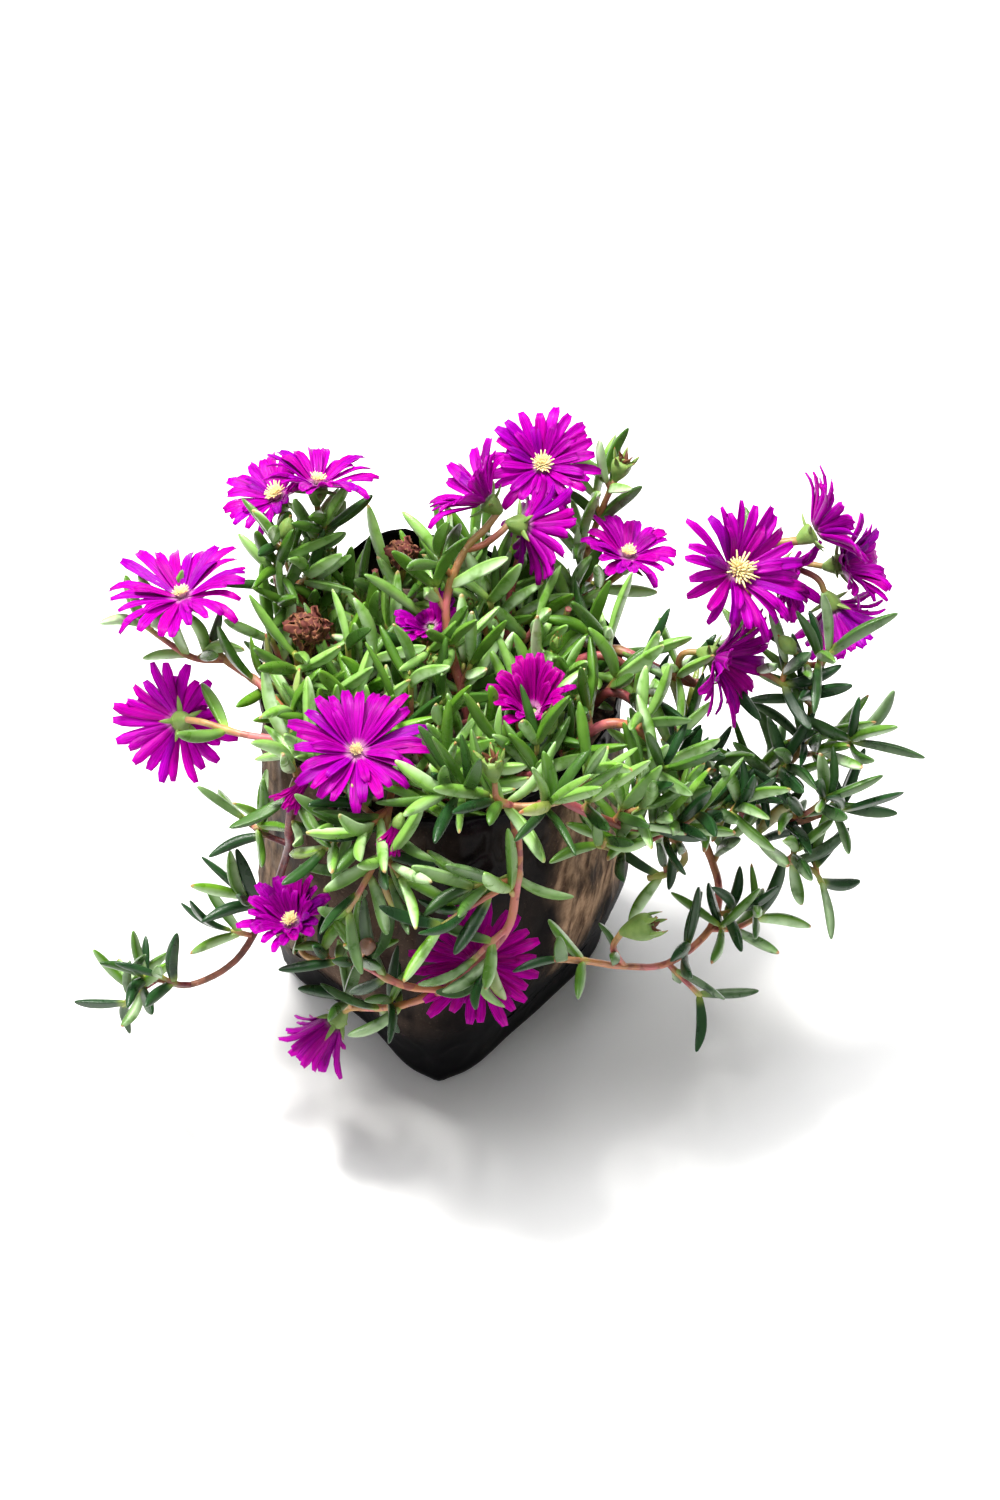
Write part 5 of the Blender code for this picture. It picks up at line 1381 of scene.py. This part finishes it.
def grow_lobe(form, start, way, lift, out, length, tone, draw):
    """One pointed lobe of a calyx: a short flat leaf that bends as it goes."""
    line = [start + (way * s + lift * s * s) * length for s in LEAF_PARTS]
    frames = []
    for index, spot in enumerate(line):
        along = way_at(line, index)
        side = along.cross(out).normalized()
        frames.append((spot, side, side.cross(along).normalized()))
    shade = draw.random()

    def place(co):
        index = round(co.z)
        spot, side, top = frames[index]
        girth = LOBE_GIRTH[index]
        x, y = section_corner(co)
        return (spot + side * x * 0.5 * LOBE_WIDTH * girth + top * y * LOBE_DEPTH * girth,
                (index / LEAF_STEPS, tone, abs(x), shade))

    grow(form, leaf_pattern, place)


# small green buds with browning tips among the leaves: the place of the tip, and the size
SMALL_BUDS = (((-39, 29, 208), 0.75), ((4, 44, 217), 1.0), ((0, -10, 211), 0.9), ((-35, 14, 206), 0.7),
              ((56, -26, 206), 0.9), ((48, 2, 210), 0.7), ((13, 22, 210), 0.7), ((-45, 50, 212), 0.8),
              ((45, -45, 217), 1.1))
draw = random.Random(31)
calyces = new_growth()
bud_stalks = new_growth()
for bloom in BLOOMS:
    middle, side, over, facing = bloom_frame(bloom)
    grow_cup(calyces, middle, side, over, facing, CUP_RINGS, 0.5)
    for lobe in range(5):
        out = spoke(side, over, 72.0 * lobe + draw.uniform(-8, 8))
        rise_cos, rise_sin = turned(BLOOMS[bloom][3] - 20.0)
        way = (out * rise_cos + facing * rise_sin).normalized()
        start = middle - facing * 2.6 + out * 2.9
        grow_lobe(calyces, start, way, facing * draw.uniform(0.02, 0.16), facing,
                  LOBE_LENGTH * draw.uniform(0.8, 1.15), 0.5, draw)
for name, stem in plan.items():
    for number, route in enumerate(stem["routes"]):
        if route["tip"] not in ("bud", "pod"):
            continue
        end, way = route_at(stem["lines"][number], 1.0)
        kind = "pod" if (name, number) in OPENED_BUDS else route["tip"]
        size = 1.0
        if (name, number) == NODDING_POD:
            way = Vector(NODDING_POD_WAY).normalized()
            size = NODDING_POD_SIZE
        side, over = across(way)
        rings = BUD_RINGS if kind == "bud" else POD_RINGS
        tone = 0.0 if (name, number) in MAROON_BUDS else 0.35 if kind == "bud" else 0.75
        rings = [(-step * size, radius * size) for step, radius in rings]
        grow_cup(calyces, end, side, over, way, rings, tone)
        for lobe in range(5):
            out = spoke(side, over, 72.0 * lobe)
            if kind == "bud":
                start, shut = end + way * 3.0 + out * 2.9, way * 1.0 - out * 0.05
                grow_lobe(calyces, start, shut, out * -0.30, out, 9.6, tone, draw)
            else:
                start = end + (way * 8.2 + out * 3.5) * size
                spread = (out * (1.45 - size) + way).normalized()
                grow_lobe(calyces, start, spread, out * draw.uniform(-0.3, 0.3), out, 5.8 * size, tone, draw)
        if kind == "pod":
            for wad in range(5):
                cos, sin = turned(72.0 * wad + 30.0)
                out = side * cos + over * sin
                grow_lobe(calyces, end + way * 8.4 * size + out * 1.2, (way + out * 0.35).normalized(),
                          (side * sin - over * cos) * 0.4, out, 5.0, 1.0, draw)
for top, size in SMALL_BUDS:
    tip = Vector(top)
    way = Vector((draw.uniform(-0.3, 0.3), draw.uniform(-0.4, 0.1), 1.0)).normalized()
    side, over = across(way)
    base = tip - way * 11.6 * size
    stalk = [base - way * 1.2 * step for step in range(13)][::-1]
    grow_rod(bud_stalks, stalk, 0.8, 0.9, (0.6,), 0.2, 1.0)
    rings = [(-step * size, radius * size) for step, radius in BUD_RINGS]
    grow_cup(calyces, base, side, over, way, rings, 0.5)
    for lobe in range(5):
        out = spoke(side, over, 72.0 * lobe)
        grow_lobe(calyces, base + (way * 4.0 + out * 2.6) * size, (way + out * 0.12).normalized(),
                  out * draw.uniform(-0.35, 0.2), out, 9.0 * size, 0.85, draw)
stalks = piece_of(bud_stalks, "stalks_of_small_buds")
stalks.data.materials.append(bark_skin.material)
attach(stalks, "root")
calyx = piece_of(calyces, "calyces_buds_and_pods")
plumped(calyx)

cup_skin = Finish("calyx_skin", {"IOR": 1.42, "Subsurface Weight": 0.1, "Subsurface Scale": 0.002})
share, tone, edge = cup_skin.growth()[:3]
mottle = cup_skin.grain(300.0, 3.0)
cup_green = cup_skin.mixed(mottle, screen(84, 116, 50), screen(134, 158, 82))
cup_green = cup_skin.mixed(tone.between(0.05, 0.0) * 0.8, cup_green, screen(112, 52, 60))
rim = edge.between(0.75, 1.0) * share.between(0.1, 0.5) + share.between(0.8, 1.0) * edge.between(0.1, 0.3)
cup_green = cup_skin.mixed(rim.held() * (0.55 + tone * 0.4), cup_green, screen(166, 88, 54))
wad_brown = cup_skin.mixed(mottle, screen(58, 30, 22), screen(120, 72, 44))
cup_green = cup_skin.mixed(tone.between(0.93, 0.97), cup_green, wad_brown)
cup_dots = cup_skin.node("ShaderNodeTexVoronoi", {}, {"Scale": 2200.0, "Vector": cup_skin.place()},
                         "Distance")
cup_skin.done(colour=cup_green, rough=mottle * 0.2 + 0.38, normal=cup_skin.raised(cup_dots, 0.00015, 0.7))
calyx.data.materials.append(cup_skin.material)
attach(calyx, "root")

# Each bloom is a flat many-rayed daisy of narrow satin petals in two or three tiers, fixed to the rim of
# its cup. A petal is widest near its rounded tip, hollowed along its length, magenta, and pale at its foot.
PETAL_WIDTH = 4.9
PETAL_THICK = 0.28
PETAL_GIRTH = (0.30, 0.45, 0.64, 0.82, 0.95, 1.0, 0.96, 0.54)
PETAL_HOLLOW = 0.20
# how far each bloom leans from purple, 0, to crimson, 1
TINTS = {"07": 0.35, "08": 0.9, "10": 0.6, "11": 0.65, "14": 0.7, "16": 0.45, "17": 0.4, "18": 0.85}
CROWDED = ("06", "09", "15", "16", "17", "20")
PETAL_STEPS = 7


def petal_form():
    """A flat strip of petal, three faces across and seven along, each row at a whole height."""
    form = bmesh.new()
    bmesh.ops.create_grid(form, x_segments=4, y_segments=PETAL_STEPS, size=1.0)
    bmesh.ops.scale(form, verts=form.verts[:], vec=(1.0, 0.5 * PETAL_STEPS, 1.0))
    bmesh.ops.translate(form, verts=form.verts[:], vec=(0.0, 0.5 * PETAL_STEPS, 0.0))
    mesh = bpy.data.meshes.new("pattern")
    form.to_mesh(mesh)
    form.free()
    return mesh


petal_pattern = petal_form()


def petal_line(points, steps):
    """Evenly spaced places for the rows of a petal, along the curve through a few points."""
    route = smooth_route(points, steps)
    return [route_at(route, index / PETAL_STEPS)[0] for index in range(PETAL_STEPS + 1)]


def grow_petal(form, bloom, turn, length, cup, lift, width, draw):
    """One petal from under the stamens out along its ray, a little curled and twisted at its tip."""
    middle, side, over, facing = bloom_frame(bloom)
    foot, wide, tip = petal_points(bloom, turn, length, cup)
    out = spoke(side, over, turn)
    curl = draw.uniform(-0.16, 0.16) * length
    twist = draw.uniform(-0.5, 0.5)
    sway = draw.uniform(-0.09, 0.09) * length
    points = [middle + out * 1.6 + facing * lift * 0.4, foot + facing * lift, wide + facing * lift,
              tip + facing * (lift + curl * 0.5)]
    line = petal_line(points, 8)
    shade, tint = draw.random(), TINTS.get(bloom, 0.5)
    frames = []
    for index, spot in enumerate(line):
        way = way_at(line, index)
        spread = way.cross(facing).normalized()
        top = spread.cross(way).normalized()
        bend = twist * index / PETAL_STEPS
        spot = spot + spread * sway * (index / PETAL_STEPS) ** 2
        frames.append((spot, spread * math.cos(bend) + top * math.sin(bend),
                       top * math.cos(bend) - spread * math.sin(bend)))

    def place(co):
        index = round(co.y)
        spot, spread, top = frames[index]
        half = 0.5 * width * PETAL_GIRTH[index]
        hollow = PETAL_HOLLOW * width * co.x * co.x * PETAL_GIRTH[index]
        reading = (index / PETAL_STEPS, 0.5 + 0.5 * co.x, shade, tint)
        return spot + spread * co.x * half + top * hollow, reading

    grow(form, petal_pattern, place)


satin = Finish("petal_satin", {"IOR": 1.5, "Specular IOR Level": 0.06, "Coat Roughness": 0.14,
                               "Subsurface Weight": 0.4, "Subsurface Scale": 0.003,
                               "Subsurface Radius": (1.0, 0.2, 0.95)})
share, breadth, shade, tint = satin.growth()
ray = satin.node("ShaderNodeCombineXYZ", {}, {0: breadth * 9.0, 1: share * 1.6, 2: shade * 60.0})
vein = satin.grain(2.0, 2.0, ray)
magenta = satin.mixed(vein.between(0.3, 0.7), screen(118, 0, 108), screen(172, 0, 160))
magenta = satin.mixed(shade.between(0.6, 1.0) * 0.45, magenta, screen(158, 0, 112))
magenta = satin.mixed(shade.between(0.3, 0.0) * 0.5, magenta, screen(96, 0, 136))
crimson = satin.mixed(vein.between(0.3, 0.7), screen(112, 0, 64), screen(176, 0, 118))
magenta = satin.mixed(tint.between(0.6, 1.0) * 0.75, magenta, crimson)
purple = satin.mixed(vein.between(0.3, 0.7), screen(84, 0, 96), screen(132, 0, 148))
magenta = satin.mixed((0.4 - tint).between(0.0, 0.3) * 0.7, magenta, purple)
# painted shade: each petal is painted darker down its hollow middle and along its edges, where petals overlap
off_middle = (breadth - 0.5) * (breadth - 0.5) * 4.0
painted_groove_and_edge_shade = (1.0 - off_middle.between(0.0, 0.08)) * 0.35 + off_middle.between(0.6, 1.0) * 0.35
magenta = satin.mixed(painted_groove_and_edge_shade.held(), magenta, screen(92, 0, 100))
pale = 1.0 - (share + vein * 0.10).between(0.10, 0.24)
magenta = satin.mixed((pale * (vein * 0.9 + 0.15)).held(), magenta, screen(220, 150, 200))
fluted = satin.raised(vein, 0.0003, 0.8)
satin.done(colour=magenta, rough=vein * 0.16 + 0.28, coat=vein.between(0.58, 0.8) * 0.2, normal=fluted)

for bloom, rays in petal_plan.items():
    draw = random.Random(300 + int(bloom))
    form = new_growth()
    count = len(rays)
    for index, (turn, length, cup) in enumerate(rays):
        following = rays[(index + 1) % count]
        gap = (following[0] - turn) % 360.0
        grow_petal(form, bloom, turn, length, cup, 0.2 + 0.4 * (index % 2), PETAL_WIDTH, draw)
        between = min(length, following[1])
        grow_petal(form, bloom, turn + 0.5 * gap + draw.uniform(-3, 3), between * draw.uniform(0.86, 1.0),
                   0.5 * (cup + following[2]) + draw.uniform(-2, 8), 0.9, PETAL_WIDTH * 0.92, draw)
        if index % 2 or bloom in CROWDED:
            grow_petal(form, bloom, turn + 0.25 * gap, between * draw.uniform(0.62, 0.8),
                       0.5 * (cup + following[2]) + draw.uniform(8, 16), 1.3, PETAL_WIDTH * 0.8, draw)
    petals = piece_of(form, "bloom_" + bloom)
    petals.data.materials.append(satin.material)
    thickened(petals, PETAL_THICK, 0.0)
    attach(petals, "root")
    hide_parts("petals_" + bloom)

# In the middle of each open bloom stands a tuft of fine cream filaments, the outer ones spread and the
# inner ones leaning together, each tipped with a grain of yellow pollen.
STAMENS = 64
STAMEN_GIRTH = (0.20, 0.15, 0.13, 0.34, 0.20)
# how broad the tufts are that stand out or stay small; the others are 0.85
TUFT_BREADTHS = {"03": 1.1, "05": 0.65, "09": 1.1, "13": 1.5}
stamen_pattern = straight_pattern(4, 4)


def grow_stamen(form, line, broad, shade):
    """One filament along its line, with the grain of pollen near its end."""
    frames = carried_frames(line)

    def place(co):
        index = round(co.z)
        spot, side, over = frames[index]
        spot = spot + (side * co.x + over * co.y) * STAMEN_GIRTH[index] * broad
        return spot, (index / 4.0, shade, 0.0, 0.0)

    grow(form, stamen_pattern, place)


tufts = new_growth()
for bloom in BLOOMS:
    if bloom in NO_STAMENS:
        continue
    draw = random.Random(500 + int(bloom))
    middle, side, over, facing = bloom_frame(bloom)
    broad = TUFT_BREADTHS.get(bloom, 0.85)
    for number in range(STAMENS):
        out = spoke(side, over, GOLDEN_TURN * number)
        ring_share = math.sqrt((number + 0.5) / STAMENS)
        start = middle + out * 1.7 * ring_share + facing * 0.6
        height = draw.uniform(3.4, 4.8) * broad
        spread = (0.15 + 0.95 * ring_share ** 2 + draw.uniform(-0.15, 0.15)) * broad
        top = start + facing * height + out * height * spread * 0.6
        knee = start + facing * height * 0.55 + out * height * spread * 0.12
        grow_stamen(tufts, smooth_route([start, knee, top], 2), broad, draw.random())
stamens = piece_of(tufts, "stamen_tufts")
cream = Finish("stamen_cream", {"Subsurface Weight": 0.15, "Subsurface Scale": 0.001})
share, shade = cream.growth()[:2]
powder = cream.grain(3000.0, 2.0)
filament = cream.mixed(shade, screen(230, 200, 196), screen(242, 232, 214))
pollen = cream.mixed(powder, screen(214, 190, 112), screen(242, 230, 176))
filament = cream.mixed(share.between(0.55, 0.8), filament, pollen)
cream.done(colour=filament, rough=powder * 0.2 + 0.55, normal=cream.raised(powder, 0.0001, 0.5))
stamens.data.materials.append(cream.material)
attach(stamens, "root")
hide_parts(*["stamens_" + bloom for bloom in BLOOMS if bloom not in NO_STAMENS])

# Two old blooms have dried where they stood: a shrunken brown cup with a wad of crumpled petals that have
# gone thin and papery, maroon inside and tan along their edges.
DRY_PETALS = 40
DRY_THICK = 0.25


def grow_dry_petal(form, line, heading, way, waves, shade):
    """One withered petal that lies along its line against the head, crumpled off it in waves."""
    aside = way.cross(heading).normalized()
    first, high = waves

    def place(co):
        index = round(co.y)
        crumple = heading * math.sin(first + index * 1.7 + co.x * 2.2) * high * 2.2
        return (line[index] + aside * co.x * 1.9 * PETAL_GIRTH[index] + crumple,
                (index / PETAL_STEPS, 0.5 + 0.5 * co.x, shade, 0.0))

    grow(form, petal_pattern, place)


for name, (tip, size) in DRIED_HEADS.items():
    draw = random.Random(len(name))
    form = new_growth()
    middle = head_middle(tip, size)
    lump = bmesh.ops.create_icosphere(form, subdivisions=2, radius=1.0)["verts"]
    for point in lump:
        stretch = 0.62 + 0.22 * noise.noise(point.co * 2.1 + Vector((size, 0.0, 0.0)))
        point.co = (point.co * stretch * size + middle) * MM
    for number in range(DRY_PETALS):
        heading = Vector((draw.uniform(-1, 1), draw.uniform(-1, 1), draw.uniform(-0.75, 1))).normalized()
        way = spoke(*across(heading), draw.uniform(0, 360))
        reach = size * draw.uniform(1.0, 1.9)
        points = [middle + heading * size * 0.45 - way * reach * 0.5,
                  middle + heading * size * draw.uniform(0.62, 0.95),
                  middle + heading * size * draw.uniform(0.6, 1.25) + way * reach * 0.5]
        shade = draw.random()
        waves = (draw.uniform(0, 6), draw.uniform(0.2, 0.5))
        grow_dry_petal(form, petal_line(points, 6), heading, way, waves, shade)
    head = piece_of(form, "withered_" + name[11:])
    thickened(head, DRY_THICK, 0.0)
    paper = Finish("withered_paper_" + name[11:], {})
    breadth, shade = paper.growth()[1:3]
    scorch = paper.grain(500.0, 4.0)
    maroon = paper.mixed(scorch, screen(44, 13, 11), screen(112, 44, 32))
    tan = paper.mixed(scorch, screen(134, 82, 48), screen(186, 138, 92))
    edge = ((breadth - 0.5) * (breadth - 0.5) * 4.0).between(0.45, 1.0)
    amount = (edge * 0.45 + shade.between(0.6, 1.0) * 0.6 * scorch.between(0.4, 0.6)).held()
    paper.done(colour=paper.mixed(amount, maroon, tan), rough=scorch * 0.2 + 0.7,
               normal=paper.raised(scorch, 0.0004, 0.8))
    head.data.materials.append(paper.material)
    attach(head, "root")
    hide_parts(name)

# Two old blooms under the fresh ones have closed and are shrivelling: a thin brush of crimson petals
# rolled up lengthwise on a small green cup.
SPENT_PETALS = 18
SPENT = (((-49, -70, 208), (-0.55, -0.35, -0.60), 14.0), ((-14, -90, 205), (-0.30, -0.40, -0.60), 11.0))
SPENT_RINGS = ((5.0, 0.9), (3.6, 1.6), (2.0, 2.3), (0.6, 2.5), (-0.6, 2.3), (-1.2, 1.5))


def grow_rolled_petal(form, line, out, way, shade):
    """One closed petal along its line, its edges rolled outwards."""
    aside = way.cross(out)

    def place(co):
        index = round(co.y)
        half = 1.15 * PETAL_GIRTH[index]
        return (line[index] + aside * co.x * half + out * (0.9 * co.x * co.x),
                (0.35 + 0.65 * index / PETAL_STEPS, 0.5 + 0.5 * co.x, shade, 0.95))

    grow(form, petal_pattern, place)


spent = new_growth()
cups = new_growth()
draw = random.Random(77)
for base, way, length in SPENT:
    base, way = Vector(base), Vector(way).normalized()
    side, over = across(way)
    grow_cup(cups, base, side, over, way, SPENT_RINGS, 0.4)
    for number in range(SPENT_PETALS):
        out = spoke(side, over, GOLDEN_TURN * number)
        flare = draw.uniform(0.05, 0.42)
        reach = length * draw.uniform(0.7, 1.1)
        points = [base + out * 0.9, base + out * (1.2 + 1.2 * flare) + way * reach * 0.5,
                  base + out * (0.8 + reach * flare) + way * reach]
        grow_rolled_petal(spent, petal_line(points, 6), out, way, draw.random())
withered = piece_of(spent, "spent_blooms")
withered.data.materials.append(satin.material)
thickened(withered, DRY_THICK, 0.0)
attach(withered, "root")
cup_piece = piece_of(cups, "spent_cups")
cup_piece.data.materials.append(cup_skin.material)
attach(cup_piece, "root")

# Where old shoots were cut back, short stubs are left standing in the mound: a green-brown stalk with a
# swollen joint and a pale, dried top.
STUBS = (((-18, 37, 186), (0.05, 0.0, 1.0), 15), ((-24, 43, 186), (-0.15, 0.1, 1.0), 18),
         ((22, 47, 186), (0.1, -0.1, 1.0), 20), ((48, 22, 184), (0.2, -0.1, 1.0), 24),
         ((62, 52, 190), (0.25, 0.15, 1.0), 26), ((-4, -46, 184), (-0.1, -0.4, 1.0), 22),
         ((8, -60, 186), (0.1, -0.5, 1.0), 18))
STUB_RINGS = ((0.6, 1.25), (0.0, 1.35), (-0.3, 1.3), (-0.45, 1.0), (-0.5, 0.5), (-0.5, 0.2))
stalks = new_growth()
for base, way, length in STUBS:
    way = Vector(way).normalized()
    line = [Vector(base) + way * length * step / 8.0 for step in range(9)]
    grow_rod(stalks, line, 1.35, 1.15, (0.55,), 0.25, 0.9)
    grow_cup(stalks, line[-1], *across(way), way, STUB_RINGS, 0.1)
stubs = piece_of(stalks, "cut_stubs")
stubs.data.materials.append(bark_skin.material)
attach(stubs, "root")

# The studio: a plain pale floor, one broad key light from above and a little behind, a soft fill and a
# camera at the photograph's angle, looking down at the plant.
CAMERA_TARGET = Vector((0.025, 0.0, 0.142))
CAMERA_DOWN = 50.0
CAMERA_AWAY = 1.1
CAMERA_LENS = 62.83
CAMERA_SENSOR = 36.0
FLOOR_HALF = 6.0
floor_form = bmesh.new()
bmesh.ops.create_grid(floor_form, x_segments=1, y_segments=1, size=FLOOR_HALF)
bmesh.ops.translate(floor_form, verts=floor_form.verts[:], vec=(0.0, 0.0, -0.0006))
floor = piece_of(floor_form, "studio_floor")
pale_floor = Finish("pale_floor", {"Base Color": screen(244, 244, 244), "Roughness": 0.9})
floor.data.materials.append(pale_floor.material)


def soft_light(name, place, size, power, colour):
    """A broad lamp that looks at the plant."""
    lamp = bpy.data.lights.new(name, "AREA")
    lamp.shape = "DISK"
    lamp.size = size
    lamp.energy = power
    lamp.color = colour
    holder = bpy.data.objects.new(name, lamp)
    holder.location = place
    holder.rotation_euler = (CAMERA_TARGET - Vector(place)).to_track_quat("-Z", "Y").to_euler()
    bpy.context.scene.collection.objects.link(holder)


soft_light("key_light", (-0.46, 0.34, 1.84), 0.36, 57.0, (1.0, 0.98, 0.94))
soft_light("sky_light", (-0.10, 0.20, 1.90), 1.7, 50.0, (1.0, 1.0, 1.0))
soft_light("fill_light", (-0.9, -1.3, 1.3), 1.4, 3.0, (0.96, 0.98, 1.0))
world = bpy.data.worlds.new("studio")
world.use_nodes = True
world.node_tree.nodes["Background"].inputs["Color"].default_value = (1.0, 1.0, 1.0, 1.0)
world.node_tree.nodes["Background"].inputs["Strength"].default_value = 0.30
bpy.context.scene.world = world
bpy.context.scene.view_settings.view_transform = "Standard"

camera = bpy.data.objects.new("camera", bpy.data.cameras.new("camera"))
camera.data.lens = CAMERA_LENS
camera.data.sensor_width = CAMERA_SENSOR
cos, sin = turned(CAMERA_DOWN)
camera.location = CAMERA_TARGET + Vector((0.0, -cos, sin)) * CAMERA_AWAY
camera.rotation_euler = (CAMERA_TARGET - camera.location).to_track_quat("-Z", "Y").to_euler()
bpy.context.scene.collection.objects.link(camera)
bpy.context.scene.camera = camera
